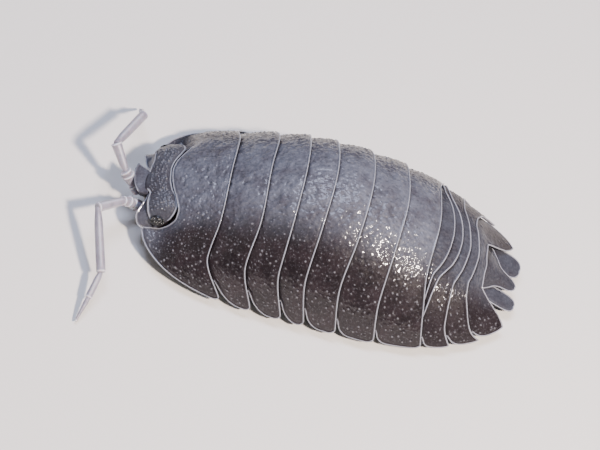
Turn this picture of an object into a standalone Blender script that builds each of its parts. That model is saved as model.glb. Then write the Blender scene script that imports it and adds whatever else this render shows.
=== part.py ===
"""A pill woodlouse, modelled life-size on its feet: one closed solid for each plate, limb and feeler.

The body lies along X with the head towards -X and the tail towards +X. The animal's left side is
towards -Y, +Z is up and the feet stand on z = 0. Sizes are in millimetres until the last step, which
turns them to metres and sets the middle of the model's footprint on the origin.
"""

import math

import bmesh
import bpy
from mathutils import Matrix, Vector

MM = 0.001
GAP = 0.3
PLATE_GAP = 0.33
SKIRT_GAP = 0.15
WELD = 0.0001
SLIVER = 0.001

# Length of the body, measured from the middle of the front plate to the tip of the telson
BODY_LENGTH = 18.0
NOSE_X = -BODY_LENGTH / 2
TAIL_X = BODY_LENGTH / 2

# Plan of the skirt: two superellipses that meet at the widest station
WIDEST_X = 1.5
WIDEST_HALF = 4.92
FRONT_LENGTH = 10.0
FRONT_POWER = 3.4
REAR_LENGTH = 7.9
REAR_POWER = 2.2

# The ridge of the tail end leans a little to the animal's left
LEAN = -0.25
LEAN_FROM_X = 3.5
LEAN_TO_X = 7.0

# Height of the back along the midline, as (x, z)
BACK_LINE = ((NOSE_X, 1.6), (-7.45, 2.42), (-6.2, 3.12), (-4.95, 3.8), (-3.3, 4.6), (-1.4, 5.22), (0.0, 5.3),
             (1.25, 5.1), (3.4, 4.45), (4.8, 3.8), (6.05, 3.05), (6.7, 2.6), (7.25, 2.0), (TAIL_X, 0.62))

# The skirt's edge stands clear of the floor, and rises towards the head
SKIRT_Z = 0.45
SKIRT_RISE = 0.5
RISE_FROM_X = -4.5
RISE_LENGTH = 3.7
RISE_POWER = 1.5

# Cross-section of the back: an arc that turns by this angle from the midline to the skirt
SIDE_TURN = math.radians(68)
SKIRT_THICKNESS = 0.45
BELLY_Z = 1.7
HOLLOW_SHARE = 0.62
HOLLOW_DROP = 0.4
HOLLOW_LEAST = 0.05
BELLY_SQUARENESS = 5.0
BELLY_ROUNDNESS = 2.5

# How far a plate's front edge lies below the rear rim of the plate before it
PLATE_STEP = 0.16
STEP_POWER = 1.6

# Rear edge of each plate, as x at these shares of the way from the midline to the skirt
EDGE_SHARES = (0.0, 0.4, 0.7, 1.0)
NECK_EDGE = ((0.0, -7.45), (0.11, -7.39), (0.21, -7.19), (0.29, -6.98), (0.365, -6.86), (0.46, -6.93),
             (0.58, -7.17), (0.66, -7.48), (0.81, -7.88), (0.92, -8.01), (1.0, -8.1))
PEREON_EDGES = ((-4.95, -4.9, -5.05, -4.02), (-3.3, -3.2, -3.36, -2.6), (-1.8, -1.84, -1.88, -1.22),
                (-0.46, -0.58, -0.68, -0.18), (1.2, 1.07, 0.87, 1.25), (2.93, 2.78, 2.7, 3.0),
                (4.58, 4.45, 4.74, 5.12))

# Pleonites: rear edge, half-spread of the plate and its rounded front corner
PLEON_SHARES = (0.0, 0.12, 0.25, 0.33, 0.42, 0.55, 0.75, 1.0)
PLEON_EDGES = ((5.33, 5.28, 5.13, 4.96, 4.73, 4.66, 4.63, 4.6),
               (5.8, 5.74, 5.55, 5.31, 5.04, 4.9, 4.79, 4.7),
               (6.26, 6.19, 6.05, 5.91, 5.77, 5.78, 5.87, 6.42),
               (6.75, 6.69, 6.57, 6.47, 6.5, 6.68, 7.04, 7.76),
               (7.27, 7.22, 7.22, 7.53, 7.93, 8.3, 8.57, 8.72))
PLEON_SPREAD = (0.5, 0.56, 1.0, 1.0, 0.97)
PLEON_CORNERS = ((0.0, 0.4), (0.0, 0.4), (0.05, 0.3), (0.36, 0.75), (0.38, 0.8))
PLEON_STAGGER = 0.04
PLEON_TUCK = 0.55
PLEON_STEP = 0.13
PLEON_LEAST_LENGTH = 0.12

# Rounded front corner of each pereonite: how much of the spread it takes, and of the plate's length
PEREON_CORNERS = ((0.06, 0.08), (0.15, 0.34), (0.2, 0.6), (0.2, 0.65), (0.18, 0.5), (0.13, 0.35),
                  (0.13, 0.35))
CORNER_POWER = 2.0

# Each rear tip turns in a little towards its end
TIP_FROM = 0.8
TIP_CUT = 0.035

# The first pereonite's front lobes spread lower beside the head than the arc would
FLARE_FROM_X = -6.3
FLARE_TO_X = -7.6
FLARE_DROP = 0.5
FLARE_FROM_SHARE = 0.34
FLARE_TO_SHARE = 0.58

COLUMNS = 26
PLATE_ROWS = 6
FIRST_PLATE_ROWS = 10
PLEON_ROWS = 4
COLUMN_CROWDING = 0.8

# Head
HEAD_HALF = 1.87
HEAD_MIDDLE = (-7.85, 1.35)
HEAD_COLUMNS = 18
RIDGE_LINE = ((0.0, -8.42, 2.02), (0.8, -8.3, 1.92), (1.3, -8.24, 1.82), (1.7, -8.1, 1.66),
              (1.92, -7.98, 1.52))
NAPE_LINE = ((0.0, -7.78), (0.9, -7.56), (1.4, -7.42), (1.7, -7.44), (1.92, -7.7))
NAPE_DROP = 0.1
CHIN = (-8.02, 0.78)
THROAT = (-7.45, 0.75)
JAW_Z = 0.66
BROW_STEP = (0.02, -0.3)
CLYPEUS_STEP = 0.1
CLYPEUS_Z = 1.15
NAPE_FOOT = (0.02, 1.3)
NAPE_DEPTH = 0.2
VERTEX_SHARES = (0.25, 0.5, 0.75)
VERTEX_RISE = 0.12
CHEEK_POWER = 5
CHEEK_LEAST = 0.25
CHEEK_BULGE = 0.03
MOUTH_CENTRE = (-7.95, 0, 0.8)
MOUTH_RADII = (0.5, 0.75, 0.42)
SCUTELLUM_HALF = 0.66
SCUTELLUM_TOP = 1.68
SCUTELLUM_RIM_SHARES = (-1, -0.5, 0, 0.5, 1)
SCUTELLUM_RIM_X = NOSE_X - 0.04
SCUTELLUM_BULGE = 0.14
SCUTELLUM_CROWN = 0.06
SCUTELLUM_FOOT = (-8.86, 0.8, 0.24)
SCUTELLUM_BACK = ((-8.3, 0, 2.08), (-8.45, 0, 1.1), (-8.1, 0.4, 1.4), (-8.1, -0.4, 1.4), (-8.1, 0, 1.9))

# Plate above an antenna's root: its upper outline on the right side, and how its underside is drawn in
LOBE_OUTLINE = ((-8.3, 1.0, 1.82), (-8.6, 1.22, 1.66), (-8.76, 1.45, 1.54), (-8.8, 1.75, 1.44),
                (-8.66, 1.95, 1.32), (-8.45, 2.0, 1.24), (-8.2, 1.86, 1.24))
LOBE_TUCK = 0.12
LOBE_NARROWING = 0.97
LOBE_DEPTH = 0.42

EYE_CENTRE = (-7.78, 1.84, 1.64)
EYE_RADII = (0.33, 0.27, 0.26)

# The head is turned a little to the animal's left about the neck, and shifted to that side
HEAD_TURN = math.radians(5)
HEAD_SHIFT = -0.1
NECK_X = -7.3

# Feelers, as (x, y, z, radius) at the ends of their joints, root to tip
LEFT_ANTENNA = ((-8.87, -1.0, 0.9, 0.3), (-9.12, -1.13, 1.1, 0.27), (-9.3, -1.33, 1.36, 0.25),
                (-9.75, -1.9, 1.68, 0.25), (-10.16, -2.36, 1.92, 0.26), (-10.2, -2.6, 1.9, 0.26),
                (-9.75, -4.0, 1.38, 0.25), (-9.4, -5.0, 0.98, 0.25), (-9.42, -5.2, 0.88, 0.21),
                (-9.66, -6.2, 0.52, 0.19), (-9.95, -7.36, 0.2, 0.1))
RIGHT_ANTENNA = ((-8.99, 0.08, 0.8, 0.3), (-9.32, 0.05, 1.04, 0.28), (-9.56, 0.08, 1.42, 0.27),
                 (-9.75, 0.27, 2.05, 0.25), (-10.08, 0.48, 2.64, 0.26), (-10.1, 0.68, 2.7, 0.26),
                 (-9.8, 1.95, 2.36, 0.25), (-9.5, 3.15, 2.04, 0.25), (-9.48, 3.34, 1.92, 0.21),
                 (-9.58, 4.05, 1.12, 0.19), (-9.7, 4.8, 0.32, 0.1))

# Legs: stations along the body, from the root to the foot
LEG_ROOT_X = (-5.9, -4.05, -2.6, -1.2, 0.3, 2.0, 3.7)
LEG_FOOT_X = (-6.8, -5.15, -3.3, -1.2, 0.9, 3.0, 5.0)
LEG_FOOT_Y = (3.05, 3.55, 3.72, 3.76, 3.8, 3.8, 3.6)
LEG_ROOT_Y = 2.05
LEG_KNEE_Y = 3.15
LEG_KNEE_Z = 0.95
LEG_ROOT_DROP = 0.2
LEG_THIGH_SHARE = 0.2
LEG_THIGH_OUT = 0.4
LEG_THIGH_DROP = 0.06
LEG_KNEE_SHARE = 0.45
LEG_KNEE_LEAD = 0.5
LEG_KNEE_DROP = 0.1
LEG_SHIN_SHARE = 0.3
LEG_SHIN_OUT = 0.22
LEG_SHIN_DROP = 0.25
LEG_RADIUS = 0.27
SHIN_RADIUS = 0.25
ANKLE_RADIUS = 0.23
FOOT_RADIUS = 0.16
PAD_RADIUS = 0.18
ANKLE_Z = 0.42
FOOT_Z = 0.16

# Tail plate: laid out behind its root, and then turned about it a little to the animal's left, and rolled
TELSON_ROOT = (7.5, 0.23, 0.0)
TELSON_TURN = math.radians(-9)
TELSON_ROLL = math.radians(5)
TELSON_SIDES = ((0.22, 0.7), (0.4, 0.6), (0.6, 0.49), (0.87, 0.4), (1.2, 0.34), (1.4, 0.23), (1.5, 0.12))
TELSON_EDGE_Z = (1.1, 0.58)
TELSON_CROWN = (0.35, 0.06)
TELSON_UNDER_Z = 0.4
TELSON_TUCK = 0.96
TELSON_COLUMNS = 8

# Uropods: root, tip, half width and height of each, as the turned tail holds them
UROPODS = (("uropod_left", (7.68, -1.02), (8.98, -1.01), 0.34, 0.92),
           ("uropod_right", (8.18, 0.99), (9.08, 0.96), 0.25, 0.98))
UROPOD_THICKNESS = 0.4
UROPOD_SLOPE = 0.33
UROPOD_BEVEL = 0.08
UROPOD_CROWN = 0.7
UROPOD_SIDES = 20

# Finish of each material: linear colour and roughness
SLATE = ((0.105, 0.108, 0.125), 0.45)
DARK_SLATE = ((0.07, 0.066, 0.075), 0.5)
TAIL_GREY = ((0.13, 0.132, 0.15), 0.5)
LILAC_GREY = ((0.32, 0.30, 0.37), 0.4)
LEG_GREY = ((0.25, 0.235, 0.25), 0.45)
EYE_BLACK = ((0.01, 0.01, 0.012), 0.15)


def eased(start, end, value):
    """0 before start, 1 after end, and a smooth step between them; start may be the larger one."""
    share = min(max((value - start) / (end - start), 0.0), 1.0)
    return share * share * (3 - 2 * share)


def curve_through(points, x):
    """The height at x of a smooth curve through (x, y) points, which doesn't overshoot them."""
    xs = [p[0] for p in points]
    ys = [p[1] for p in points]
    x = min(max(x, xs[0]), xs[-1])
    i = max(k for k in range(len(xs) - 1) if xs[k] <= x)
    rises = [(ys[k + 1] - ys[k]) / (xs[k + 1] - xs[k]) for k in range(len(xs) - 1)]

    def slope(k):
        if k in (0, len(xs) - 1):
            return rises[min(k, len(rises) - 1)]
        if rises[k - 1] * rises[k] <= 0:
            return 0.0
        return 2 * rises[k - 1] * rises[k] / (rises[k - 1] + rises[k])

    width = xs[i + 1] - xs[i]
    t = (x - xs[i]) / width
    return ((1 + 2 * t) * (1 - t) ** 2 * ys[i] + t * t * (3 - 2 * t) * ys[i + 1]
            + t * (1 - t) ** 2 * width * slope(i) + t * t * (t - 1) * width * slope(i + 1))


def half_width(x):
    """Half the body's width at the skirt."""
    if x < WIDEST_X:
        share, power = (WIDEST_X - x) / FRONT_LENGTH, FRONT_POWER
    else:
        share, power = (x - WIDEST_X) / REAR_LENGTH, REAR_POWER
    return WIDEST_HALF * max(1 - share ** power, 0.0) ** (1 / power)


def skirt_z(x):
    """Height of the skirt's edge."""
    ahead = min(max(RISE_FROM_X - x, 0.0) / RISE_LENGTH, 1.0)
    return SKIRT_Z + SKIRT_RISE * ahead ** RISE_POWER


def lean(x):
    """How far the ridge lies to the side."""
    return LEAN * eased(LEAN_FROM_X, LEAN_TO_X, x)


def flare_left(x, share):
    """How much of the back's height is left beside the head, where the first plate's lobes spread low."""
    flare = eased(FLARE_FROM_X, FLARE_TO_X, x) * eased(FLARE_FROM_SHARE, FLARE_TO_SHARE, abs(share))
    return 1 - FLARE_DROP * flare


def back_point(x, share, depth=0.0):
    """Point of the back at station x; share runs from -1 at the right skirt to 1 at the left one."""
    turn = share * SIDE_TURN
    low = skirt_z(x)
    arch = (math.cos(turn) - math.cos(SIDE_TURN)) / (1 - math.cos(SIDE_TURN))
    z = low + (curve_through(BACK_LINE, x) - low) * arch * flare_left(x, share)
    y = -half_width(x) * math.sin(turn) / math.sin(SIDE_TURN)
    return Vector((x, y + lean(x) * arch + depth * math.sin(turn), z - depth * math.cos(turn)))


def belly_point(x, share):
    """Point of the hollow underside below the same share of the back."""
    across = math.sin(share * SIDE_TURN) / math.sin(SIDE_TURN)
    inside = half_width(x) - SKIRT_THICKNESS
    low = skirt_z(x)
    roof = (1 - min(abs(across), 1.0) ** BELLY_SQUARENESS) ** (1 / BELLY_ROUNDNESS)
    room = HOLLOW_SHARE * (curve_through(BACK_LINE, x) - low) * flare_left(x, share) - HOLLOW_DROP
    top = min(BELLY_Z, low + max(room, HOLLOW_LEAST))
    return Vector((x, lean(x) * (1 - across * across) - inside * across, low + (top - low) * roof))


def edge_x(edge, share):
    """Station of a plate's rear edge at this share of the way to the skirt; it is level at the midline."""
    shares = EDGE_SHARES if len(edge) == len(EDGE_SHARES) else PLEON_SHARES
    points = ((-shares[1], edge[1]), *zip(shares, edge))
    return curve_through(points, abs(share))


def clear_of(edge, share):
    """Station of a front edge that stays clear of the rear edge before it, more so near the skirt."""
    return edge_x(edge, share) + PLATE_GAP + SKIRT_GAP * share * share


def neck_x(share):
    """Station of the first pereonite's front edge, which is hollowed for the head."""
    return curve_through(NECK_EDGE, abs(share))


def columns():
    """Shares across a plate from right to left, closer together towards the skirt."""
    steps = [2 * i / COLUMNS - 1 for i in range(COLUMNS + 1)]
    return [math.copysign(1 - (1 - abs(s)) ** (1 / COLUMN_CROWDING), s) for s in steps]


def grid_solid(name, top, bottom):
    """A closed solid between two alike grids of points, both given as rows of columns."""
    mesh = bmesh.new()
    upper = [[mesh.verts.new(p) for p in row] for row in top]
    lower = [[mesh.verts.new(p) for p in row] for row in bottom]
    last_row, last = len(top) - 1, len(top[0]) - 1

    def quad(a, b, c, d, flip):
        faces = ((a, b, c), (a, c, d)) if flip else ((a, b, d), (b, c, d))
        for face in faces:
            mesh.faces.new(face)

    for j in range(last_row):
        for i in range(last):
            left = i >= last / 2
            quad(upper[j][i], upper[j][i + 1], upper[j + 1][i + 1], upper[j + 1][i], left)
            quad(lower[j][i], lower[j][i + 1], lower[j + 1][i + 1], lower[j + 1][i], left)
        quad(upper[j][0], upper[j + 1][0], lower[j + 1][0], lower[j][0], True)
        quad(upper[j][last], upper[j + 1][last], lower[j + 1][last], lower[j][last], False)
    for i in range(last):
        quad(upper[0][i], upper[0][i + 1], lower[0][i + 1], lower[0][i], i >= last / 2)
        quad(upper[last_row][i], upper[last_row][i + 1], lower[last_row][i + 1], lower[last_row][i],
             i >= last / 2)
    return finished(name, mesh)


def finished(name, mesh):
    """Turns a bmesh to an object with its faces pointing out."""
    bmesh.ops.recalc_face_normals(mesh, faces=mesh.faces)
    data = bpy.data.meshes.new(name)
    mesh.to_mesh(data)
    mesh.free()
    piece = bpy.data.objects.new(name, data)
    bpy.context.scene.collection.objects.link(piece)
    return piece


def plate(name, front_x, rear_x, spread, rows, step, sink=0.0):
    """One arched body segment: its back plate, its two side plates and its belly.

    front_x and rear_x give the stations of its edges for a share of the way to the skirt, and spread
    gives how far towards the skirt the plate reaches at each share of its length. The front edge lies
    lower than the rear one by step, and its underside is sunk by sink.
    """
    top, bottom = [], []
    for j in range(rows + 1):
        along = j / rows
        reach = spread(along)
        top_row, bottom_row = [], []
        for column in columns():
            share = column * reach
            x = front_x(share) + (rear_x(share) - front_x(share)) * along
            top_row.append(back_point(x, share, step * (1 - along) ** STEP_POWER))
            bottom_row.append(belly_point(x, share) - Vector((0, 0, sink)))
        top.append(top_row)
        bottom.append(bottom_row)
    return grid_solid(name, top, bottom)


def lobed(spread, corner):
    """Reach of a plate along its length: its front corner is rounded off and its rear tip turns in."""
    cut, length = corner

    def reach(along):
        front = cut * max(1 - along / length, 0.0) ** CORNER_POWER
        rear = TIP_CUT * max((along - TIP_FROM) / (1 - TIP_FROM), 0.0) ** 2
        return spread - front - rear

    return reach


def make_pereonites():
    """The seven leg-bearing segments."""
    pieces = [plate("pereonite_1", neck_x, lambda s: edge_x(PEREON_EDGES[0], s), lobed(1, PEREON_CORNERS[0]),
                    FIRST_PLATE_ROWS, PLATE_STEP)]
    for k in range(1, len(PEREON_EDGES)):
        before, own = PEREON_EDGES[k - 1], PEREON_EDGES[k]
        reach = lobed(1, PEREON_CORNERS[k])
        pieces.append(plate(f"pereonite_{k + 1}", lambda s, e=before: clear_of(e, s),
                            lambda s, e=own: edge_x(e, s), reach, PLATE_ROWS, PLATE_STEP))
    return pieces


def make_pleon():
    """The five short segments behind the legs, each tucked under the one before it.

    Their hidden faces are staggered, so that no two of them lie on one another in the union.
    """
    behind = PEREON_EDGES[-1]
    pieces = []
    for k, own in enumerate(PLEON_EDGES):
        before = PLEON_EDGES[k - 1] if k else behind

        stagger = PLEON_STAGGER * k

        def front_x(share, before=before, stagger=stagger):
            return max(clear_of(behind, share) + stagger, edge_x(before, share) - PLEON_TUCK)

        def rear_x(share, own=own, front_x=front_x):
            return max(edge_x(own, share), front_x(share) + PLEON_LEAST_LENGTH)

        reach = lobed(PLEON_SPREAD[k], PLEON_CORNERS[k])
        pieces.append(plate(f"pleonite_{k + 1}", front_x, rear_x, reach, PLEON_ROWS, PLEON_STEP, stagger))
    return joined("pleon", pieces)


def joined(name, pieces):
    """One closed solid from overlapping pieces; scraps and sealed hollows are dropped."""
    base = pieces[0]
    base.name = name
    group = bpy.data.collections.new(name + "_pieces")
    for piece in pieces[1:]:
        group.objects.link(piece)
    union = base.modifiers.new("Union", "BOOLEAN")
    union.operation = "UNION"
    union.operand_type = "COLLECTION"
    union.collection = group
    apply_modifiers(base)
    for piece in pieces[1:]:
        bpy.data.objects.remove(piece)
    bpy.data.collections.remove(group)
    keep_largest(base)
    return base


def apply_modifiers(piece):
    """Replaces the piece's mesh by its evaluated one."""
    view = bpy.context.evaluated_depsgraph_get()
    data = bpy.data.meshes.new_from_object(piece.evaluated_get(view))
    piece.modifiers.clear()
    piece.data = data


def keep_largest(piece):
    """Keeps the closed surface with the most volume."""
    mesh = bmesh.new()
    mesh.from_mesh(piece.data)
    bmesh.ops.triangulate(mesh, faces=mesh.faces)
    bmesh.ops.dissolve_degenerate(mesh, edges=mesh.edges, dist=SLIVER)
    bmesh.ops.triangulate(mesh, faces=mesh.faces)
    left = set(mesh.faces)
    shells = []
    while left:
        shell, edge_of_shell = set(), [left.pop()]
        while edge_of_shell:
            face = edge_of_shell.pop()
            shell.add(face)
            for edge in face.edges:
                for other in edge.link_faces:
                    if other in left:
                        left.remove(other)
                        edge_of_shell.append(other)
        shells.append(shell)

    def volume(shell):
        return abs(sum(f.verts[0].co.dot(f.verts[1].co.cross(f.verts[2].co)) for f in shell) / 6)

    shells.sort(key=volume)
    for shell in shells[:-1]:
        bmesh.ops.delete(mesh, geom=list(shell), context="FACES")
    bmesh.ops.delete(mesh, geom=[v for v in mesh.verts if not v.link_faces], context="VERTS")
    mesh.to_mesh(piece.data)
    mesh.free()


def hull(name, points):
    """The convex solid round these points."""
    mesh = bmesh.new()
    for point in points:
        mesh.verts.new(point)
    found = bmesh.ops.convex_hull(mesh, input=mesh.verts)
    spare = {g for g in found["geom_interior"] + found["geom_unused"] if isinstance(g, bmesh.types.BMVert)}
    bmesh.ops.delete(mesh, geom=list(spare), context="VERTS")
    return finished(name, mesh)


def ball(name, centre, radii, segments=20, rings=12):
    """An ellipsoid."""
    mesh = bmesh.new()
    bmesh.ops.create_uvsphere(mesh, u_segments=segments, v_segments=rings, radius=1.0)
    place = Matrix.Translation(centre) @ Matrix.Diagonal((*radii, 1))
    bmesh.ops.transform(mesh, matrix=place, verts=mesh.verts)
    return finished(name, mesh)


def tube(name, stations):
    """A tapered tube through (x, y, z, radius) stations, with flat ends."""
    curve = bpy.data.curves.new(name, "CURVE")
    curve.dimensions = "3D"
    curve.bevel_depth = 1.0
    curve.bevel_resolution = 2
    curve.use_fill_caps = True
    spline = curve.splines.new("POLY")
    spline.points.add(len(stations) - 1)
    for point, (x, y, z, radius) in zip(spline.points, stations):
        point.co = (x, y, z, 1)
        point.radius = radius
    guide = bpy.data.objects.new(name + "_line", curve)
    bpy.context.scene.collection.objects.link(guide)
    view = bpy.context.evaluated_depsgraph_get()
    data = bpy.data.meshes.new_from_object(guide.evaluated_get(view))
    bpy.data.objects.remove(guide)
    mesh = bmesh.new()
    mesh.from_mesh(data)
    bmesh.ops.remove_doubles(mesh, verts=mesh.verts, dist=WELD)
    return finished(name, mesh)


def make_skull():
    """The head's capsule: a ring of points for each of its slices from right to left."""
    mesh = bmesh.new()
    rings = []
    for i in range(HEAD_COLUMNS + 1):
        across = math.sin(math.pi * (i / HEAD_COLUMNS - 0.5))
        y = HEAD_HALF * across
        ridge_x = curve_through([(p[0], p[1]) for p in RIDGE_LINE], abs(y))
        ridge_z = curve_through([(p[0], p[2]) for p in RIDGE_LINE], abs(y))
        nape_x = curve_through(NAPE_LINE, abs(y))
        share = math.asin(min(abs(y) / half_width(nape_x) * math.sin(SIDE_TURN), 1.0)) / SIDE_TURN
        nape_z = back_point(nape_x, share, NAPE_DROP).z
        shape = [(nape_x, nape_z)]
        for t in VERTEX_SHARES:
            lift = VERTEX_RISE * math.sin(math.pi * t)
            shape.append((nape_x + (ridge_x - nape_x) * t, nape_z + (ridge_z - nape_z) * t + lift))
        shape += [(ridge_x, ridge_z), (ridge_x + BROW_STEP[0], ridge_z + BROW_STEP[1])]
        shape += [(ridge_x + CLYPEUS_STEP, CLYPEUS_Z), CHIN, ((CHIN[0] + THROAT[0]) / 2, JAW_Z), THROAT]
        shape.append((nape_x + NAPE_FOOT[0], min(NAPE_FOOT[1], nape_z - NAPE_DEPTH)))
        shrink = CHEEK_LEAST + (1 - CHEEK_LEAST) * math.sqrt(max(1 - abs(across) ** CHEEK_POWER, 0.0))
        mid_x, mid_z = HEAD_MIDDLE
        ring = [Vector((mid_x + (x - mid_x) * shrink, y, mid_z + (z - mid_z) * shrink)) for x, z in shape]
        rings.append([mesh.verts.new(p) for p in ring])
    count = len(rings[0])
    for a, b in zip(rings, rings[1:]):
        for k in range(count):
            mesh.faces.new((a[k], a[(k + 1) % count], b[(k + 1) % count], b[k]))
    for ring, side in ((rings[0], -1), (rings[-1], 1)):
        middle = sum((v.co for v in ring), Vector()) / count
        pole = mesh.verts.new(middle + Vector((0, side * CHEEK_BULGE, 0)))
        for k in range(count):
            mesh.faces.new((ring[k], ring[(k + 1) % count], pole))
    bmesh.ops.triangulate(mesh, faces=mesh.faces)
    return finished("head", mesh)


def make_scutellum():
    """The three-cornered plate at the front of the head, with its upper edge raised."""
    rim = [(SCUTELLUM_RIM_X + SCUTELLUM_BULGE * s * s, SCUTELLUM_HALF * s,
            SCUTELLUM_TOP + SCUTELLUM_CROWN * (1 - abs(s))) for s in SCUTELLUM_RIM_SHARES]
    x, share, drop = SCUTELLUM_FOOT
    foot = [(x, side * SCUTELLUM_HALF * share, SCUTELLUM_TOP - drop) for side in (-1, 1)]
    return hull("scutellum", [*rim, *foot, *SCUTELLUM_BACK])


def make_lobe(side):
    """The rounded plate above an antenna's root, in front of the eye; side is -1 for the left one."""
    upper = [(x, side * y, z) for x, y, z in LOBE_OUTLINE]
    under = [(x + LOBE_TUCK, y * LOBE_NARROWING, z - LOBE_DEPTH) for x, y, z in upper]
    return hull("lobe", upper + under)


def make_head():
    """The head: capsule, front plate, two side lobes and mouthparts, with a seat cut for each eye."""
    mouth = ball("mouthparts", MOUTH_CENTRE, MOUTH_RADII)
    head = joined("head", [make_skull(), make_scutellum(), make_lobe(-1), make_lobe(1), mouth])
    for side in (-1, 1):
        x, y, z = EYE_CENTRE
        seat = ball("seat", (x, side * y, z), [r + GAP for r in EYE_RADII])
        cut = head.modifiers.new("Seat", "BOOLEAN")
        cut.operation = "DIFFERENCE"
        cut.object = seat
        apply_modifiers(head)
        bpy.data.objects.remove(seat)
    keep_largest(head)
    turn_head(head)
    return head


def turn_head(piece):
    """Turns a piece of the head about the neck."""
    neck = Matrix.Translation((NECK_X, 0, 0))
    turned = Matrix.Translation((NECK_X, HEAD_SHIFT, 0)) @ Matrix.Rotation(HEAD_TURN, 4, "Z")
    piece.data.transform(turned @ neck.inverted())


def make_eyes():
    """Two domed eyes."""
    x, y, z = EYE_CENTRE
    eyes = [ball(f"eye_{word}", (x, side * y, z), EYE_RADII, 16, 10)
            for word, side in (("left", -1), ("right", 1))]
    for eye in eyes:
        turn_head(eye)
    return eyes


def make_legs():
    """Seven pairs of walking legs, bent at the knee under the skirt and flat on the floor."""
    legs = []
    for k, (root_x, foot_x, foot_y) in enumerate(zip(LEG_ROOT_X, LEG_FOOT_X, LEG_FOOT_Y)):
        reach = foot_x - root_x
        knee_x = root_x + LEG_KNEE_SHARE * reach
        knee_y = min(LEG_KNEE_Y, foot_y - LEG_KNEE_LEAD)
        top = belly_point(root_x, LEG_ROOT_Y / half_width(root_x)).z - GAP
        line = ((root_x, LEG_ROOT_Y, top, LEG_RADIUS),
                (root_x, LEG_ROOT_Y, top - LEG_ROOT_DROP, LEG_RADIUS),
                (root_x + LEG_THIGH_SHARE * reach, LEG_ROOT_Y + LEG_THIGH_OUT, LEG_KNEE_Z - LEG_THIGH_DROP,
                 LEG_RADIUS),
                (knee_x, knee_y, LEG_KNEE_Z - LEG_KNEE_DROP, LEG_RADIUS),
                (knee_x + LEG_SHIN_SHARE * (foot_x - knee_x), knee_y + LEG_SHIN_OUT,
                 LEG_KNEE_Z - LEG_SHIN_DROP, SHIN_RADIUS),
                (foot_x, foot_y, ANKLE_Z, ANKLE_RADIUS),
                (foot_x, foot_y, FOOT_Z, PAD_RADIUS),
                (foot_x, foot_y, 0.0, FOOT_RADIUS))
        for word, side in (("left", -1), ("right", 1)):
            legs.append(tube(f"leg_{word}_{k + 1}", [(x, side * y, z, r) for x, y, z, r in line]))
    return legs


def make_telson():
    """The three-cornered tail plate, whose sides are hollowed for the uropods."""
    shares = [2 * i / TELSON_COLUMNS - 1 for i in range(TELSON_COLUMNS + 1)]
    length = TELSON_SIDES[-1][0]
    top, bottom = [], []
    for x, half in TELSON_SIDES:
        edge = TELSON_EDGE_Z[0] + (TELSON_EDGE_Z[1] - TELSON_EDGE_Z[0]) * x / length
        crown = TELSON_CROWN[0] + (TELSON_CROWN[1] - TELSON_CROWN[0]) * x / length
        top.append([Vector((x, half * s, edge + crown * (1 - s * s))) for s in shares])
        bottom.append([Vector((x, half * s * TELSON_TUCK, TELSON_UNDER_Z)) for s in shares])
    telson = grid_solid("telson", top, bottom)
    turned = Matrix.Rotation(TELSON_TURN, 4, "Z") @ Matrix.Rotation(TELSON_ROLL, 4, "X")
    telson.data.transform(Matrix.Translation(TELSON_ROOT) @ turned)
    return telson


def make_uropods():
    """Two flat oval plates beside the telson, which slope down to their tips."""
    uropods = []
    for name, root, tip, half, height in UROPODS:
        middle, reach = (Vector(root) + Vector(tip)) / 2, (Vector(tip) - Vector(root)) / 2
        across = Vector((-reach.y, reach.x)).normalized() * half
        points = []
        for k in range(UROPOD_SIDES):
            turn = 2 * math.pi * k / UROPOD_SIDES
            spot = middle + reach * math.cos(turn) + across * math.sin(turn)
            crown = middle + (spot - middle) * UROPOD_CROWN
            top = height - UROPOD_SLOPE * (spot.x - root[0])
            points += [(*spot, top - UROPOD_BEVEL), (*spot, top - UROPOD_THICKNESS), (*crown, top)]
        uropods.append(hull(name, points))
    return uropods


def painted(pieces, name, finish):
    """Gives the pieces one material each, all of the same finish."""
    colour, roughness = finish
    for piece in pieces:
        material = bpy.data.materials.new(f"{name}_{piece.name}")
        material.use_nodes = True
        shader = material.node_tree.nodes["Principled BSDF"]
        shader.inputs["Base Color"].default_value = (*colour, 1)
        shader.inputs["Roughness"].default_value = roughness
        shader.inputs["Metallic"].default_value = 0.0
        piece.data.materials.clear()
        piece.data.materials.append(material)


def settle(pieces):
    """Turns millimetres to metres, with the middle of the footprint on the origin."""
    corners = [v.co for piece in pieces for v in piece.data.vertices]
    middle_x = (min(c.x for c in corners) + max(c.x for c in corners)) / 2
    middle_y = (min(c.y for c in corners) + max(c.y for c in corners)) / 2
    place = Matrix.Scale(MM, 4) @ Matrix.Translation((-middle_x, -middle_y, 0))
    group = bpy.data.collections.new("woodlouse")
    bpy.context.scene.collection.children.link(group)
    for piece in pieces:
        piece.data.transform(place)
        group.objects.link(piece)
        bpy.context.scene.collection.objects.unlink(piece)


def main():
    for thing in list(bpy.data.objects):
        bpy.data.objects.remove(thing)
    pereonites = make_pereonites()
    pleon = make_pleon()
    head = make_head()
    eyes = make_eyes()
    antennae = [tube("antenna_left", LEFT_ANTENNA), tube("antenna_right", RIGHT_ANTENNA)]
    legs = make_legs()
    telson = make_telson()
    uropods = make_uropods()
    painted([head, *pereonites], "slate_shell", SLATE)
    painted([pleon], "dark_slate_shell", DARK_SLATE)
    painted([telson, *uropods], "tail_shell", TAIL_GREY)
    painted(antennae, "feeler_shell", LILAC_GREY)
    painted(legs, "leg_shell", LEG_GREY)
    painted(eyes, "eye_lens", EYE_BLACK)
    settle([head, *eyes, *antennae, *pereonites, pleon, telson, *uropods, *legs])


main()
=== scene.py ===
"""A pill woodlouse, life-size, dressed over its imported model: plates, head, feelers, legs and tail.

The scene is worked out in millimetres in the body's own frame, as the source is: head towards -X, tail
towards +X, the animal's left side towards -Y, and feet on z = 0. Frame.place() turns that to metres in
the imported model's frame.
"""

from __future__ import annotations

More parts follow.
